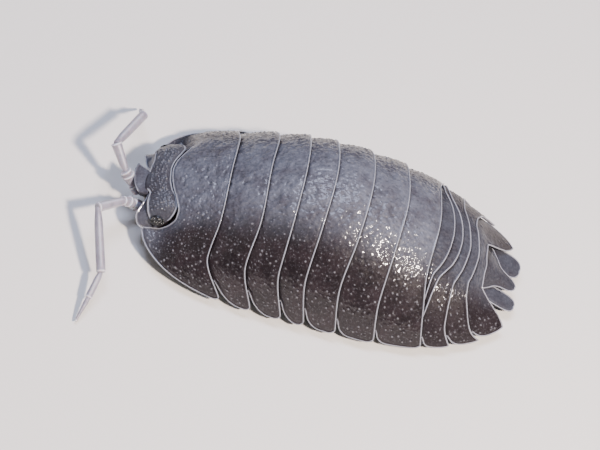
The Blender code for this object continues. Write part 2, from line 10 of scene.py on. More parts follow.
import itertools
import logging
import math
from dataclasses import dataclass, field
from enum import Enum
from typing import Callable, Iterable, Mapping, Sequence, Union

import bmesh
import bpy
import numpy as np
from mathutils import Matrix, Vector
from mathutils.kdtree import KDTree

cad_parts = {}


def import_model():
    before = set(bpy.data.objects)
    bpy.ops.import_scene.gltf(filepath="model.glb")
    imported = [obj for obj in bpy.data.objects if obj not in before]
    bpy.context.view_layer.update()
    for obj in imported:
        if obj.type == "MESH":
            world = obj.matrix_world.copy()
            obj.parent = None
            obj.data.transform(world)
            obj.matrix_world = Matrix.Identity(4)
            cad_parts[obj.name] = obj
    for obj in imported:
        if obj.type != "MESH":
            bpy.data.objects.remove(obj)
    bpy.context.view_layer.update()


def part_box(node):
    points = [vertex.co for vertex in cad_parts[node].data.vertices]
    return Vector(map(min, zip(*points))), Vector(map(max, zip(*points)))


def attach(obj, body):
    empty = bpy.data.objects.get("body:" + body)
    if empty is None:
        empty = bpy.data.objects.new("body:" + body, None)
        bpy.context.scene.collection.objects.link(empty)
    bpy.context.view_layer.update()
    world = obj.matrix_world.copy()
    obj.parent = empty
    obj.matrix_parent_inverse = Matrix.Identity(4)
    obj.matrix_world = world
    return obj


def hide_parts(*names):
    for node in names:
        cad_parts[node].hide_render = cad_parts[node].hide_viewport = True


LOG = logging.getLogger("woodlouse")
MM = 0.001
Array = np.ndarray
Line = Callable[[Array], Array]
Faces = list[tuple[int, ...]]
Value = Union[float, Sequence[float], bpy.types.NodeSocket]

# Sockets of the Mix node when it mixes colours
MIX_SHARE, MIX_A, MIX_B, MIX_RESULT = 0, 6, 7, 2


class Side(Enum):
    """Side of the animal, and the sign of Y there."""

    LEFT = -1
    RIGHT = 1

    @property
    def word(self) -> str:
        """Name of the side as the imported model's nodes have it."""
        return self.name.lower()


class Slot(Enum):
    """Material slots of the record."""

    SHELL = "shell"
    TAIL = "tail_shell"
    FEELER = "feeler"
    LEG = "leg"
    EYE = "eye"


class Mark(Enum):
    """What a point of the cuticle is, or how much painted sheen and shade it gets, kept on the mesh for its
    colour.
    """

    RIM = "rim"
    GRANULE = "granule"
    # Share of painted shade on the flanks; where it is low, the back colour paints a sheen
    FLANK = "flank"
    # Painted shade in hollows, between granules and under overhanging edges
    CLEFT = "cleft"


class SmoothLine:
    """A smooth curve through (x, y) points, which doesn't overshoot them."""

    def __init__(self, points: Sequence[Sequence[float]]) -> None:
        """Works out the slope at each point.

        Args:
            points: Pairs of x and y, in rising order of x.
        """
        self.xs, self.ys = np.array(points, float).T
        rises = np.diff(self.ys) / np.diff(self.xs)
        before, after = rises[:-1], rises[1:]
        level = before * after <= 0
        inner = np.where(level, 0.0, 2 * before * after / np.where(level, 1.0, before + after))
        self.slopes = np.concatenate(([rises[0]], inner, [rises[-1]]))

    def __call__(self, x: Array) -> Array:
        """Height of the curve at x.

        Args:
            x: One place or several.

        Returns:
            The heights there, with the end values kept beyond the ends.
        """
        x = np.clip(x, self.xs[0], self.xs[-1])
        i = np.clip(np.searchsorted(self.xs, x, side="right") - 1, 0, len(self.xs) - 2)
        width = self.xs[i + 1] - self.xs[i]
        t = (x - self.xs[i]) / width
        start = (1 + 2 * t) * (1 - t) ** 2 * self.ys[i] + t * (1 - t) ** 2 * width * self.slopes[i]
        end = t * t * (3 - 2 * t) * self.ys[i + 1] + t * t * (t - 1) * width * self.slopes[i + 1]
        return start + end


def eased(start: float, end: float, value: Array) -> Array:
    """0 before start, 1 after end, and a smooth step between them; start may be the larger one."""
    share = np.clip((value - start) / (end - start), 0.0, 1.0)
    return share * share * (3 - 2 * share)


def unit(vectors: Array) -> Array:
    """Vectors brought to length 1."""
    return vectors / np.maximum(np.linalg.norm(vectors, axis=-1, keepdims=True), 1e-12)


def grid_normals(grid: Array) -> Array:
    """Normals of a grid of points, from its neighbours along both ways."""
    return unit(np.cross(np.gradient(grid, axis=1), np.gradient(grid, axis=0)))


def upward_normals(grid: Array) -> Array:
    """Normals of a sheet of points, which look up on the whole."""
    normals = grid_normals(grid)
    return normals * np.sign(normals[..., 2].mean())


def outward_normals(grid: Array, centre: Array) -> Array:
    """Normals of rings of points that close on themselves, which look away from a centre on the whole."""
    looped = np.concatenate((grid[:, -1:], grid, grid[:, :1]), axis=1)
    normals = grid_normals(looped)[:, 1:-1]
    return normals * np.sign(np.sum(normals * (grid - centre), axis=-1).mean())


def turned_level(points: Array, angle: float) -> Array:
    """Points turned about the vertical axis."""
    x, y = points[..., 0], points[..., 1]
    c, s = math.cos(angle), math.sin(angle)
    return np.stack((c * x - s * y, s * x + c * y, points[..., 2]), axis=-1)


def superellipse(t: Array, power: float) -> Array:
    """Height of a quarter of a superellipse, 1 where t is 0 and 0 where t is 1."""
    return (1 - t ** power) ** (1 / power)


def dense(line: Array, step: float) -> Array:
    """Points along a line of points, no further apart than a step.

    Args:
        line: Points of the line, in order.
        step: Largest distance between neighbours in the result.

    Returns:
        The line's points with more points between them.
    """
    lengths = np.linalg.norm(np.diff(line, axis=0), axis=1)
    travelled = np.concatenate(([0.0], np.cumsum(lengths)))
    wanted = np.linspace(0, travelled[-1], max(int(travelled[-1] / step) + 2, 3))
    return np.stack([np.interp(wanted, travelled, line[:, k]) for k in range(3)], axis=1)


def nearest(points: Array, targets: Array) -> tuple[Array, Array]:
    """The nearest target of each point.

    Args:
        points: An array of points, of any shape that ends in 3.
        targets: A list of points.

    Returns:
        The distances and the targets' indices, in the shape of points without its last axis.
    """
    tree = KDTree(len(targets))
    for k, target in enumerate(targets.tolist()):
        tree.insert(target, k)
    tree.balance()
    found = np.array([tree.find(point)[1:] for point in points.reshape(-1, 3).tolist()])
    return found[:, 1].reshape(points.shape[:-1]), found[:, 0].astype(int).reshape(points.shape[:-1])


class Grain:
    """Smooth seeded noise in space, for the cuticle's unevenness."""

    TABLE = 4096
    PRIMES = (73856093, 19349663, 83492791)

    def __init__(self, seed: int) -> None:
        """Draws the noise's table of values.

        Args:
            seed: Fixes what is drawn.
        """
        self.table = np.random.default_rng(seed).uniform(-1, 1, self.TABLE)

    def __call__(self, points: Array, size: float) -> Array:
        """Noise at each point.

        Args:
            points: An array of points, of any shape that ends in 3.
            size: Width of one bump, in the points' unit.

        Returns:
            Values from -1 to 1.
        """
        spot = points / size
        cell = np.floor(spot).astype(np.int64)
        t = spot - cell
        t = t * t * (3 - 2 * t)
        total = np.zeros(points.shape[:-1])
        for corner in itertools.product((0, 1), repeat=3):
            weight = np.ones(points.shape[:-1])
            key = np.zeros(points.shape[:-1], np.int64)
            for axis, step in enumerate(corner):
                weight = weight * (t[..., axis] if step else 1 - t[..., axis])
                key = key ^ ((cell[..., axis] + step) * self.PRIMES[axis])
            total += weight * self.table[key & (self.TABLE - 1)]
        return total

    def waves(self, points: Array, kinds: Sequence[tuple[float, float]]) -> Array:
        """Sum of several noises, each given as the width and the height of its bumps."""
        return sum(self(points, size) * height for size, height in kinds)


@dataclass(frozen=True)
class BodyForm:
    """The arched form of the body that all plates lie on, as the source has it."""

    widest_x: float = 1.5
    widest_half: float = 4.92
    front_length: float = 10.0
    front_power: float = 3.4
    rear_length: float = 7.9
    rear_power: float = 2.2
    skirt: float = 0.45
    skirt_rise: float = 0.5
    rise_from: float = -4.5
    rise_length: float = 3.7
    rise_power: float = 1.5
    side_turn: float = math.radians(68)
    lean: float = -0.25
    lean_x: tuple[float, float] = (3.5, 7.0)
    flare_x: tuple[float, float] = (-6.3, -7.6)
    flare_share: tuple[float, float] = (0.34, 0.58)
    # The turned head presses the right lobe lower than the left one
    flare_drop: tuple[float, float] = (0.5, 0.85)
    belly_z: float = 1.7
    hollow_share: float = 0.62
    hollow_drop: float = 0.4
    hollow_least: float = 0.05
    hollow_powers: tuple[float, float] = (5.0, 2.5)
    top: SmoothLine = field(default_factory=lambda: SmoothLine((
        (-9, 1.6), (-7.45, 2.42), (-6.2, 3.12), (-4.95, 3.8), (-3.3, 4.6), (-1.4, 5.22), (0, 5.3),
        (1.25, 5.1), (3.4, 4.45), (4.8, 3.8), (6.05, 3.05), (6.7, 2.6), (7.25, 2.0), (9, 0.62))))

    def half_width(self, x: Array) -> Array:
        """Half the body's width at the skirt."""
        ahead = np.clip((self.widest_x - x) / self.front_length, 0, 1)
        behind = np.clip((x - self.widest_x) / self.rear_length, 0, 1)
        front, rear = superellipse(ahead, self.front_power), superellipse(behind, self.rear_power)
        return self.widest_half * front * rear

    def skirt_z(self, x: Array) -> Array:
        """Height of the skirt's edge, which rises towards the head."""
        ahead = np.clip((self.rise_from - x) / self.rise_length, 0, 1)
        return self.skirt + self.skirt_rise * ahead ** self.rise_power

    def flare_left(self, x: Array, share: Array) -> Array:
        """How much of the back's height is left beside the head."""
        drop = np.where(share > 0, *self.flare_drop)
        return 1 - drop * eased(*self.flare_x, x) * eased(*self.flare_share, np.abs(share))

    def back(self, x: Array, share: Array, depth: Array) -> Array:
        """Points of the back.

        Args:
            x: Stations along the body.
            share: Places across it, from -1 at the right skirt to 1 at the left one.
            depth: How far below the surface the points lie.

        Returns:
            The points, with one more axis than the arguments.
        """
        x, share, depth = np.broadcast_arrays(x, share, depth)
        turn = share * self.side_turn
        low = self.skirt_z(x)
        arch = (np.cos(turn) - math.cos(self.side_turn)) / (1 - math.cos(self.side_turn))
        z = low + (self.top(x) - low) * arch * self.flare_left(x, share)
        y = self.lean * eased(*self.lean_x, x) * arch
        y = y - self.half_width(x) * np.sin(turn) / math.sin(self.side_turn)
        return np.stack((x, y + depth * np.sin(turn), z - depth * np.cos(turn)), axis=-1)

    def belly_height(self, x: Array, share: Array) -> Array:
        """Height of the hollow underside below the same share of the back."""
        across = np.abs(np.sin(share * self.side_turn) / math.sin(self.side_turn))
        low = self.skirt_z(x)
        inner, outer = self.hollow_powers
        roof = (1 - np.minimum(across, 1) ** inner) ** (1 / outer)
        room = self.hollow_share * (self.top(x) - low) * self.flare_left(x, share) - self.hollow_drop
        top = np.minimum(self.belly_z, low + np.maximum(room, self.hollow_least))
        return low + (top - low) * roof


class Frame:
    """Where the body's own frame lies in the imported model, found by its eyes."""

    def __init__(self, between_eyes: Array) -> None:
        """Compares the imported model's eyes with their place in the body's own frame.

        Args:
            between_eyes: The middle between the eyes, in millimetres in the body's own frame.
        """
        corners = np.array([[tuple(corner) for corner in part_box(f"eye_{side.word}")] for side in Side])
        self.offset = (corners.mean(axis=(0, 1)) / MM - between_eyes) * (1, 1, 0)

    def place(self, points: Array) -> Array:
        """Points of the body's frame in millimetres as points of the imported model's frame in metres."""
        return (points + self.offset) * MM


class Workshop:
    """Makes Blender objects of points and faces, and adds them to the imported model."""

    def __init__(self, frame: Frame) -> None:
        """Keeps where the body's own frame lies.

        Args:
            frame: The body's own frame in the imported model.
        """
        self.frame = frame

    def solid(self, name: str, points: Array, faces: Sequence[Sequence[int]],
              marks: Mapping[Mark, Array] | None = None) -> bpy.types.Object:
        """A smooth-shaded mesh object.

        Args:
            name: Name of the piece.
            points: Its vertices, in millimetres in the body's own frame.
            faces: Its faces, as indices of vertices.
            marks: What each vertex is, from 0 to 1.

        Returns:
            The object, with its faces pointing out.
        """
        mesh = bpy.data.meshes.new(name)
        mesh.from_pydata(self.frame.place(points).tolist(), [], faces)
        tidy = bmesh.new()
        tidy.from_mesh(mesh)
        bmesh.ops.recalc_face_normals(tidy, faces=tidy.faces)
        tidy.to_mesh(mesh)
        tidy.free()
        mesh.shade_smooth()
        for mark in Mark:
            values = np.zeros(len(points)) if marks is None else marks.get(mark, np.zeros(len(points)))
            layer = mesh.attributes.new(mark.value, "FLOAT", "POINT")
            layer.data.foreach_set("value", np.clip(values, 0, 1).astype(np.float32))
        piece = bpy.data.objects.new(name, mesh)
        bpy.context.scene.collection.objects.link(piece)
        return piece

    def add(self, piece: bpy.types.Object, finish: bpy.types.Material, slot: Slot | None,
            nodes: Sequence[str] = ()) -> None:
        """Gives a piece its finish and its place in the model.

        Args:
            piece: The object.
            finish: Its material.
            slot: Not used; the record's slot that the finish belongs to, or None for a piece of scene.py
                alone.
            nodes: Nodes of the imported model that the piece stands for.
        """
        piece.data.materials.append(finish)
        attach(piece, "root")
        if nodes:
            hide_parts(*nodes)
        LOG.info("%s: %d faces", piece.name, len(piece.data.polygons))


def sheet_faces(rows: int, columns: int) -> tuple[Array, Faces]:
    """Faces of a thin closed plate whose under face shares the upper one's edge.

    Args:
        rows: Rows of points in the upper face.
        columns: Points in each row.

    Returns:
        Which points of the grid the under face has of its own, as a mask, and the faces.
    """
    upper = np.arange(rows * columns).reshape(rows, columns)
    inside = np.zeros((rows, columns), bool)
    inside[1:-1, 1:-1] = True
    under = upper.copy()
    under[inside] = rows * columns + np.arange(inside.sum())
    faces = []
    for grid, flip in ((upper, False), (under, True)):
        corners = (grid[:-1, :-1], grid[:-1, 1:], grid[1:, 1:], grid[1:, :-1])
        quads = np.stack(corners, axis=-1).reshape(-1, 4)
        faces += (quads[:, ::-1] if flip else quads).tolist()
    return inside, faces


def ring_faces(rings: int, around: int) -> Faces:
    """Faces of a closed form made of rings, with a pole point at each end.

    Args:
        rings: Number of rings.
        around: Points in each ring.

    Returns:
        The faces; the poles are the two points after all rings, the first ring's pole first.
    """
    faces = []
    for k in range(rings - 1):
        for i in range(around):
            j = (i + 1) % around
            base = k * around
            faces.append((base + i, base + j, base + around + j, base + around + i))
    for ring, pole in ((0, rings * around), (rings - 1, rings * around + 1)):
        for i in range(around):
            base = ring * around
            faces.append((base + i, base + (i + 1) % around, pole))
    return faces


def joined(forms: Iterable[tuple[Array, Faces]]) -> tuple[Array, Faces]:
    """Points and faces of several forms as those of one piece."""
    points, faces, count = [], [], 0
    for more, more_faces in forms:
        points.append(more)
        faces += [tuple(corner + count for corner in face) for face in more_faces]
        count += len(more)
    return np.concatenate(points), faces


def rounded(centre: Sequence[float], radii: Sequence[float], rings: int, around: int) -> tuple[Array, Faces]:
    """Points and faces of an ellipsoid.

    Args:
        centre: Its middle.
        radii: Its half sizes.
        rings: Rings of points between its poles.
        around: Points in each ring.

    Returns:
        The points and the faces.
    """
    tilt = np.pi * np.arange(1, rings + 1) / (rings + 1)
    turn = 2 * np.pi * np.arange(around) / around
    x = np.sin(tilt)[:, None] * np.cos(turn)[None, :]
    y = np.sin(tilt)[:, None] * np.sin(turn)[None, :]
    z = np.broadcast_to(np.cos(tilt)[:, None], x.shape)
    points = np.concatenate((np.stack((x, y, z), axis=-1).reshape(-1, 3), [(0, 0, 1), (0, 0, -1)]))
    return points * np.array(radii) + np.array(centre), ring_faces(rings, around)


@dataclass(frozen=True)
class Spots:
    """Granules of one size, strewn in loose rows."""

    spacing: float
    radius: float
    height: float
    jitter: float = 0.38
    kept: float = 0.85
    paleness: float = 1.0
    sizes: tuple[float, float] = (0.55, 1.15)

    def varied(self, rng: np.random.Generator, centres: Array) -> tuple[Array, Array, Spots]:
        """The granules at these centres, each with a size of its own."""
        return centres, rng.uniform(*self.sizes, len(centres)), self

    def lattice(self, rng: np.random.Generator, length: float, width: float) -> tuple[Array, Array]:
        """Loose rows of places over a strip.

        Args:
            rng: Source of the unevenness.
            length: How far the rows are strewn, in millimetres.
            width: Half the length of each row, in millimetres.

        Returns:
            Distances along the strip and across it.
        """
        along = np.arange(self.spacing / 2, length, self.spacing)
        across = np.arange(-width, width, self.spacing)
        grid = np.stack(np.meshgrid(along, across, indexing="ij"), axis=-1)
        grid[::2, :, 1] += self.spacing / 2
        grid += rng.uniform(-self.jitter, self.jitter, grid.shape) * self.spacing
        places = grid.reshape(-1, 2)[rng.random(grid.shape[0] * grid.shape[1]) < self.kept]
        return places[:, 0], places[:, 1]


@dataclass(frozen=True)
class Cuticle:
    """How the surface of a hard plate stands: a bead along its rim, granules and unevenness."""

    bead: float = 0.029
    groove: float = 0.018
    groove_at: float = 0.1
    groove_width: float = 0.035
    thickness: float = 0.1
    edge_round: float = 0.035
    # Distances from a bead over which the relief sets in and the pale rim ends
    calm: tuple[float, float] = (0.065, 0.14)
    rim: tuple[float, float] = (0.04, 0.062)
    # How dark the painted shade in the relief's hollows is, and over which depth it sets in
    hollow_dark: float = 0.45
    hollow_deep: float = 0.03
    dome_power: float = 1.5
    bead_step: float = 0.012
    least_depth: float = 0.01
    under_marks: float = 0.5

    def relief(self, grid: Array, beads: Sequence[Array], spots: Sequence[tuple[Array, Array, Spots]],
               uneven: Array, ridges: Sequence[Array] = ()) -> tuple[Array, dict[Mark, Array]]:
        """Height of the surface over a grid of points.

        Args:
            grid: Points of the smooth form.
            beads: Edges that a bead runs along.
            spots: Centres of granules, how large each one is beside the others, and their kind.
            uneven: Unevenness of the surface away from the beads.
            ridges: Lines inside the grid that a bead runs along, with ground on both of its sides.

        Returns:
            The height at each point, and the marks for rim, granule and the painted shade in hollows.
        """
        away = np.full(grid.shape[:-1], np.inf)
        for lines, shift in ((beads, 0.0), (ridges, self.bead)):
            if lines:
                points = np.concatenate([dense(line, self.bead_step) for line in lines])
                away = np.minimum(away, nearest(grid, points)[0] + shift)
        calm = eased(*self.calm, away)
        lift = np.sqrt(np.maximum(self.bead ** 2 - (away - self.bead) ** 2, 0))
        lift = lift - self.groove * np.exp(-((away - self.groove_at) / self.groove_width) ** 2)
        lift = lift + uneven * calm
        granule = np.zeros(away.shape)
        for centres, sizes, kind in spots:
            gap, which = nearest(grid, centres)
            dome = np.maximum(1 - (gap / (kind.radius * sizes[which])) ** 2, 0)
            lift = lift + kind.height * sizes[which] * dome ** self.dome_power * calm
            granule = np.maximum(granule, dome * calm * kind.paleness * sizes[which])
        rim = 1 - eased(*self.rim, away)
        # Painted shade: the low places of the unevenness are darkened
        hollow = self.hollow_dark * np.clip(-uneven / self.hollow_deep, 0, 1) * calm * (1 - granule)
        return lift, {Mark.RIM: rim, Mark.GRANULE: granule, Mark.CLEFT: hollow}

    def closed(self, grid: Array, lift: Array, marks: Mapping[Mark, Array],
               normals: Array | None = None) -> tuple[Array, Faces, dict[Mark, Array]]:
        """A thin closed plate from the grid of its smooth upper face.

        Args:
            grid: Points of the smooth upper face.
            lift: Height of the relief at each point.
            marks: What each point is.
            normals: Which way the upper face looks, or None to work it out.

        Returns:
            The plate's points, its faces and its marks.
        """
        normals = grid_normals(grid) if normals is None else normals
        edge = np.concatenate((grid[0], grid[-1], grid[:, 0], grid[:, -1]))
        depth = self.thickness * (1 - np.exp(-nearest(grid, edge)[0] / self.edge_round))
        upper = grid + normals * lift[..., None]
        under = grid - normals * np.maximum(depth, self.least_depth)[..., None]
        inside, faces = sheet_faces(*grid.shape[:2])
        points = np.concatenate((upper.reshape(-1, 3), under[inside]))
        both = {mark: np.concatenate((value.reshape(-1), value[inside] * self.under_marks))
                for mark, value in marks.items()}
        return points, faces, both

    def ringed(self, grid: Array, normals: Array, lift: Array, marks: Mapping[Mark, Array],
               pole: float = 0.0) -> tuple[Array, Faces, dict[Mark, Array]]:
        """A closed form from rings of points that go from its left end to its right one.

        Args:
            grid: Points of the smooth form, one ring in each row.
            normals: Which way its surface looks.
            lift: Height of the relief at each point.
            marks: What each point is.
            pole: How far beyond its ring the point at each end lies.

        Returns:
            The form's points, its faces and its marks.
        """
        poles = np.array([ring.mean(axis=0) + (0, side.value * pole, 0)
                          for ring, side in zip((grid[0], grid[-1]), Side)])
        points = np.concatenate(((grid + normals * lift[..., None]).reshape(-1, 3), poles))
        both = {mark: np.concatenate((value.reshape(-1), (0, 0))) for mark, value in marks.items()}
        return points, ring_faces(*grid.shape[:2]), both


@dataclass
class BodyPlate:
    """One arched plate of the back, tucked under the plate before it."""

    name: str
    node: str
    cover: Line
    rear: Line
    spread: float
    corner: tuple[float, float]
    step: float = 0.17
    step_power: float = 1.6
    first: bool = False
    seed: int = 0
    tuck: float = 0.45
    tuck_depth: float = 0.13
    tuck_most: float = 1.2
    neck_sink: float = 0.06
    neck_length: float = 0.4
    # Round the head the first plate keeps the back's painted sheen instead of the flank's painted shade
    front_pale: tuple[float, float] = (-0.9, 1.5)
    # Corners are rounded by the plate's length near its margin
    corner_share: float = 0.95
    corner_from: float = 0.05
    corner_power: float = 2.4
    tip: tuple[float, float] = (0.038, 0.42)
    least: float = 0.12
    shortens_below: float = 0.5
    pitch: float = 0.042
    hidden_pitch: float = 0.07
    slot: Slot = Slot.SHELL
    # The back is lumpy and finely wrinkled, the flanks are almost smooth
    lumps: tuple = ((0.32, 0.02), (0.16, 0.024))
    rugged: float = 1.0
    smooth_share: float = 0.2
    wrinkle_size: float = 0.085
    wrinkles: tuple[float, float] = (0.006, 0.012)
    lumpy_to: tuple[float, float] = (0.3, 0.62)
    grains: tuple[Spots, ...] = (Spots(0.26, 0.06, 0.03), Spots(0.17, 0.046, 0.016, paleness=0.6))
    grain_reach: float = 3.0
    grain_from: float = 0.08
    grain_margin: float = 0.14
    side_margin: float = 0.2
    bead_from: int = 4
    # Granules change from the back to the flank, as painted sheen on the back gives way to painted shade
    back_grains: float = 0.4
    flank: tuple[float, float] = (0.2, 0.56)
    # Painted shadow in the fold under the edge before
    fold: tuple[float, float] = (0.02, 0.16)

    # Rows of points near a free edge and near the covering one, in millimetres from it
    MARGIN = (0.0, 0.012, 0.03, 0.052, 0.078, 0.108)
    FINE = (0.0, 0.003, 0.01, 0.02, 0.035)
    SEAM = 0.15
    START = 0.055
    LENGTH_SAMPLES = 12
    ARC_SAMPLES = 40
    GRAIN_SEED = 100

    def length(self, share: Array) -> Array:
        """Length of the plate that shows."""
        return np.maximum(self.rear(share) - self.cover(share), self.least)

    def station(self, fraction: Array, offset: Array, share: Array) -> Array:
        """Station along the body of a point of the plate.

        Args:
            fraction: How far it lies from the covering edge to the rear one.
            offset: How many millimetres further back it lies.
            share: Its place across the body.

        Returns:
            The stations.
        """
        length = self.length(share)
        start = np.minimum(self.cover(share), self.rear(share) - self.least)
        scale = np.where((fraction > 0) | (offset > 0), np.minimum(length / self.shortens_below, 1), 1)
        return start + fraction * length + offset * scale

    def rows(self) -> tuple[Array, Array]:
        """Rows of the grid, as fractions of the length and offsets in millimetres."""
        length = float(np.max(self.length(np.linspace(0, self.spread, self.LENGTH_SAMPLES))))
        count = max(int((length - 2 * self.SEAM) / self.pitch), 3)
        lead = self.MARGIN if self.first else self.FINE
        rows = [(0.0, d) for d in lead]
        if not self.first:
            hidden = int(self.tuck / self.hidden_pitch)
            rows = [(0.0, -self.tuck * (1 - k / hidden)) for k in range(hidden)] + rows
        start = self.SEAM if self.first else self.START
        rows += [(t, start * (1 - t) - self.SEAM * t) for t in np.linspace(0, 1, count)]
        rows += [(1.0, -d) for d in reversed(self.MARGIN)]
        table = np.array(rows)
        return table[:, 0], table[:, 1]

    def reach(self, fraction: Array, offset: Array) -> Array:
        """How far across the body each row reaches: the front corner is rounded, and the rear tip too."""
        share = np.full(fraction.shape, self.corner_share * self.spread)
        length = self.length(share)
        back = self.station(fraction, offset, share) - self.cover(share)
        cut, span = self.corner
        t = np.clip((back - self.corner_from) / span, 0, 1)
        front = cut * (1 - superellipse(1 - t, self.corner_power))
        cut, span = self.tip
        t = np.clip((length - back) / span, 0, 1)
        return self.spread - front - cut * (1 - np.sqrt(1 - (1 - t) ** 2))

    def half_arc(self, form: BodyForm) -> float:
        """Length over the back from the midline to the skirt."""
        share = np.linspace(0, 1, self.ARC_SAMPLES)
        line = form.back(self.rear(share), share, 0.0)
        return float(np.linalg.norm(np.diff(line, axis=0), axis=1).sum())

    def depth(self, x: Array, share: Array) -> Array:
        """How far the plate lies below the form of the back."""
        back = x - self.cover(share)
        if self.first:
            return self.neck_sink * np.clip(1 - back / self.neck_length, 0, 1) ** 2
        ahead = np.clip(1 - back / self.length(share), 0, 1) ** self.step_power
        return self.step * ahead + self.tuck_depth * np.clip(-back / self.tuck, 0, self.tuck_most)

    def grid(self, form: BodyForm) -> tuple[Array, Array, Array]:
        """Points of the smooth upper face.

        Args:
            form: The form of the back.

        Returns:
            The points, their stations and their places across the body.
        """
        fraction, offset = self.rows()
        half = self.half_arc(form) * self.spread
        inner = half - self.SEAM
        margin = half - np.array(self.MARGIN)[::-1]
        side = np.concatenate((np.linspace(0, inner, int(inner / self.pitch)), margin))
        column = np.concatenate((-side[:0:-1], side)) / half
        share = self.reach(fraction, offset)[:, None] * column[None, :]
        x = self.station(fraction[:, None], offset[:, None], share)
        return form.back(x, share, self.depth(x, share)), x, share

    def scatter(self, form: BodyForm, kind: Spots, rng: np.random.Generator) -> Array:
        """Centres of the plate's granules, in rows along its rear edge."""
        half = self.half_arc(form)
        along, across = kind.lattice(rng, self.grain_reach, half * self.spread)
        share = across / half
        x = self.rear(share) - along - self.grain_margin
        back = x - self.cover(share)
        shown = (back > self.grain_from) & (np.abs(share) < self.spread - self.side_margin / half)
        x, share = x[shown], share[shown]
        return form.back(x, share, self.depth(x, share))

    def build(self, shop: Workshop, form: BodyForm, cuticle: Cuticle) -> bpy.types.Object:
        """Makes the plate's mesh.

        Args:
            shop: Makes the object.
            form: The form of the back.
            cuticle: The relief of its surface.

        Returns:
            The plate.
        """
        grid, x, share = self.grid(form)
        rng = np.random.default_rng(self.seed)
        start = len(self.FINE) + self.bead_from
        beads = [grid[-1], grid[start:, 0], grid[start:, -1]]
        if self.first:
            beads = [grid[-1], grid[:, 0], grid[:, -1], grid[0]]
        upper_back = 1 - eased(*self.lumpy_to, np.abs(share))
        grain = Grain(self.seed + self.GRAIN_SEED)
        lumps = grain.waves(grid, self.lumps) * (self.smooth_share + (1 - self.smooth_share) * upper_back)
        least, more = self.wrinkles
        uneven = lumps * self.rugged + grain(grid, self.wrinkle_size) * (least + more * upper_back)
        spots = [kind.varied(rng, self.scatter(form, kind, rng)) for kind in self.grains]
        lift, marks = cuticle.relief(grid, beads, spots, uneven)
        back = x - self.cover(share)
        flank = eased(*self.flank, np.abs(share))
        marks[Mark.GRANULE] = marks[Mark.GRANULE] * (self.back_grains + (1 - self.back_grains) * flank)
        # Painted shade on the flank, painted sheen where it is low
        marks[Mark.FLANK] = flank * eased(*self.front_pale, back) if self.first else flank
        # Painted shadow just behind the edge before, where it overhangs
        if not self.first:
            marks[Mark.CLEFT] = np.maximum(marks[Mark.CLEFT], 1 - eased(*self.fold, back))
        return shop.solid(self.name, *cuticle.closed(grid, lift, marks))


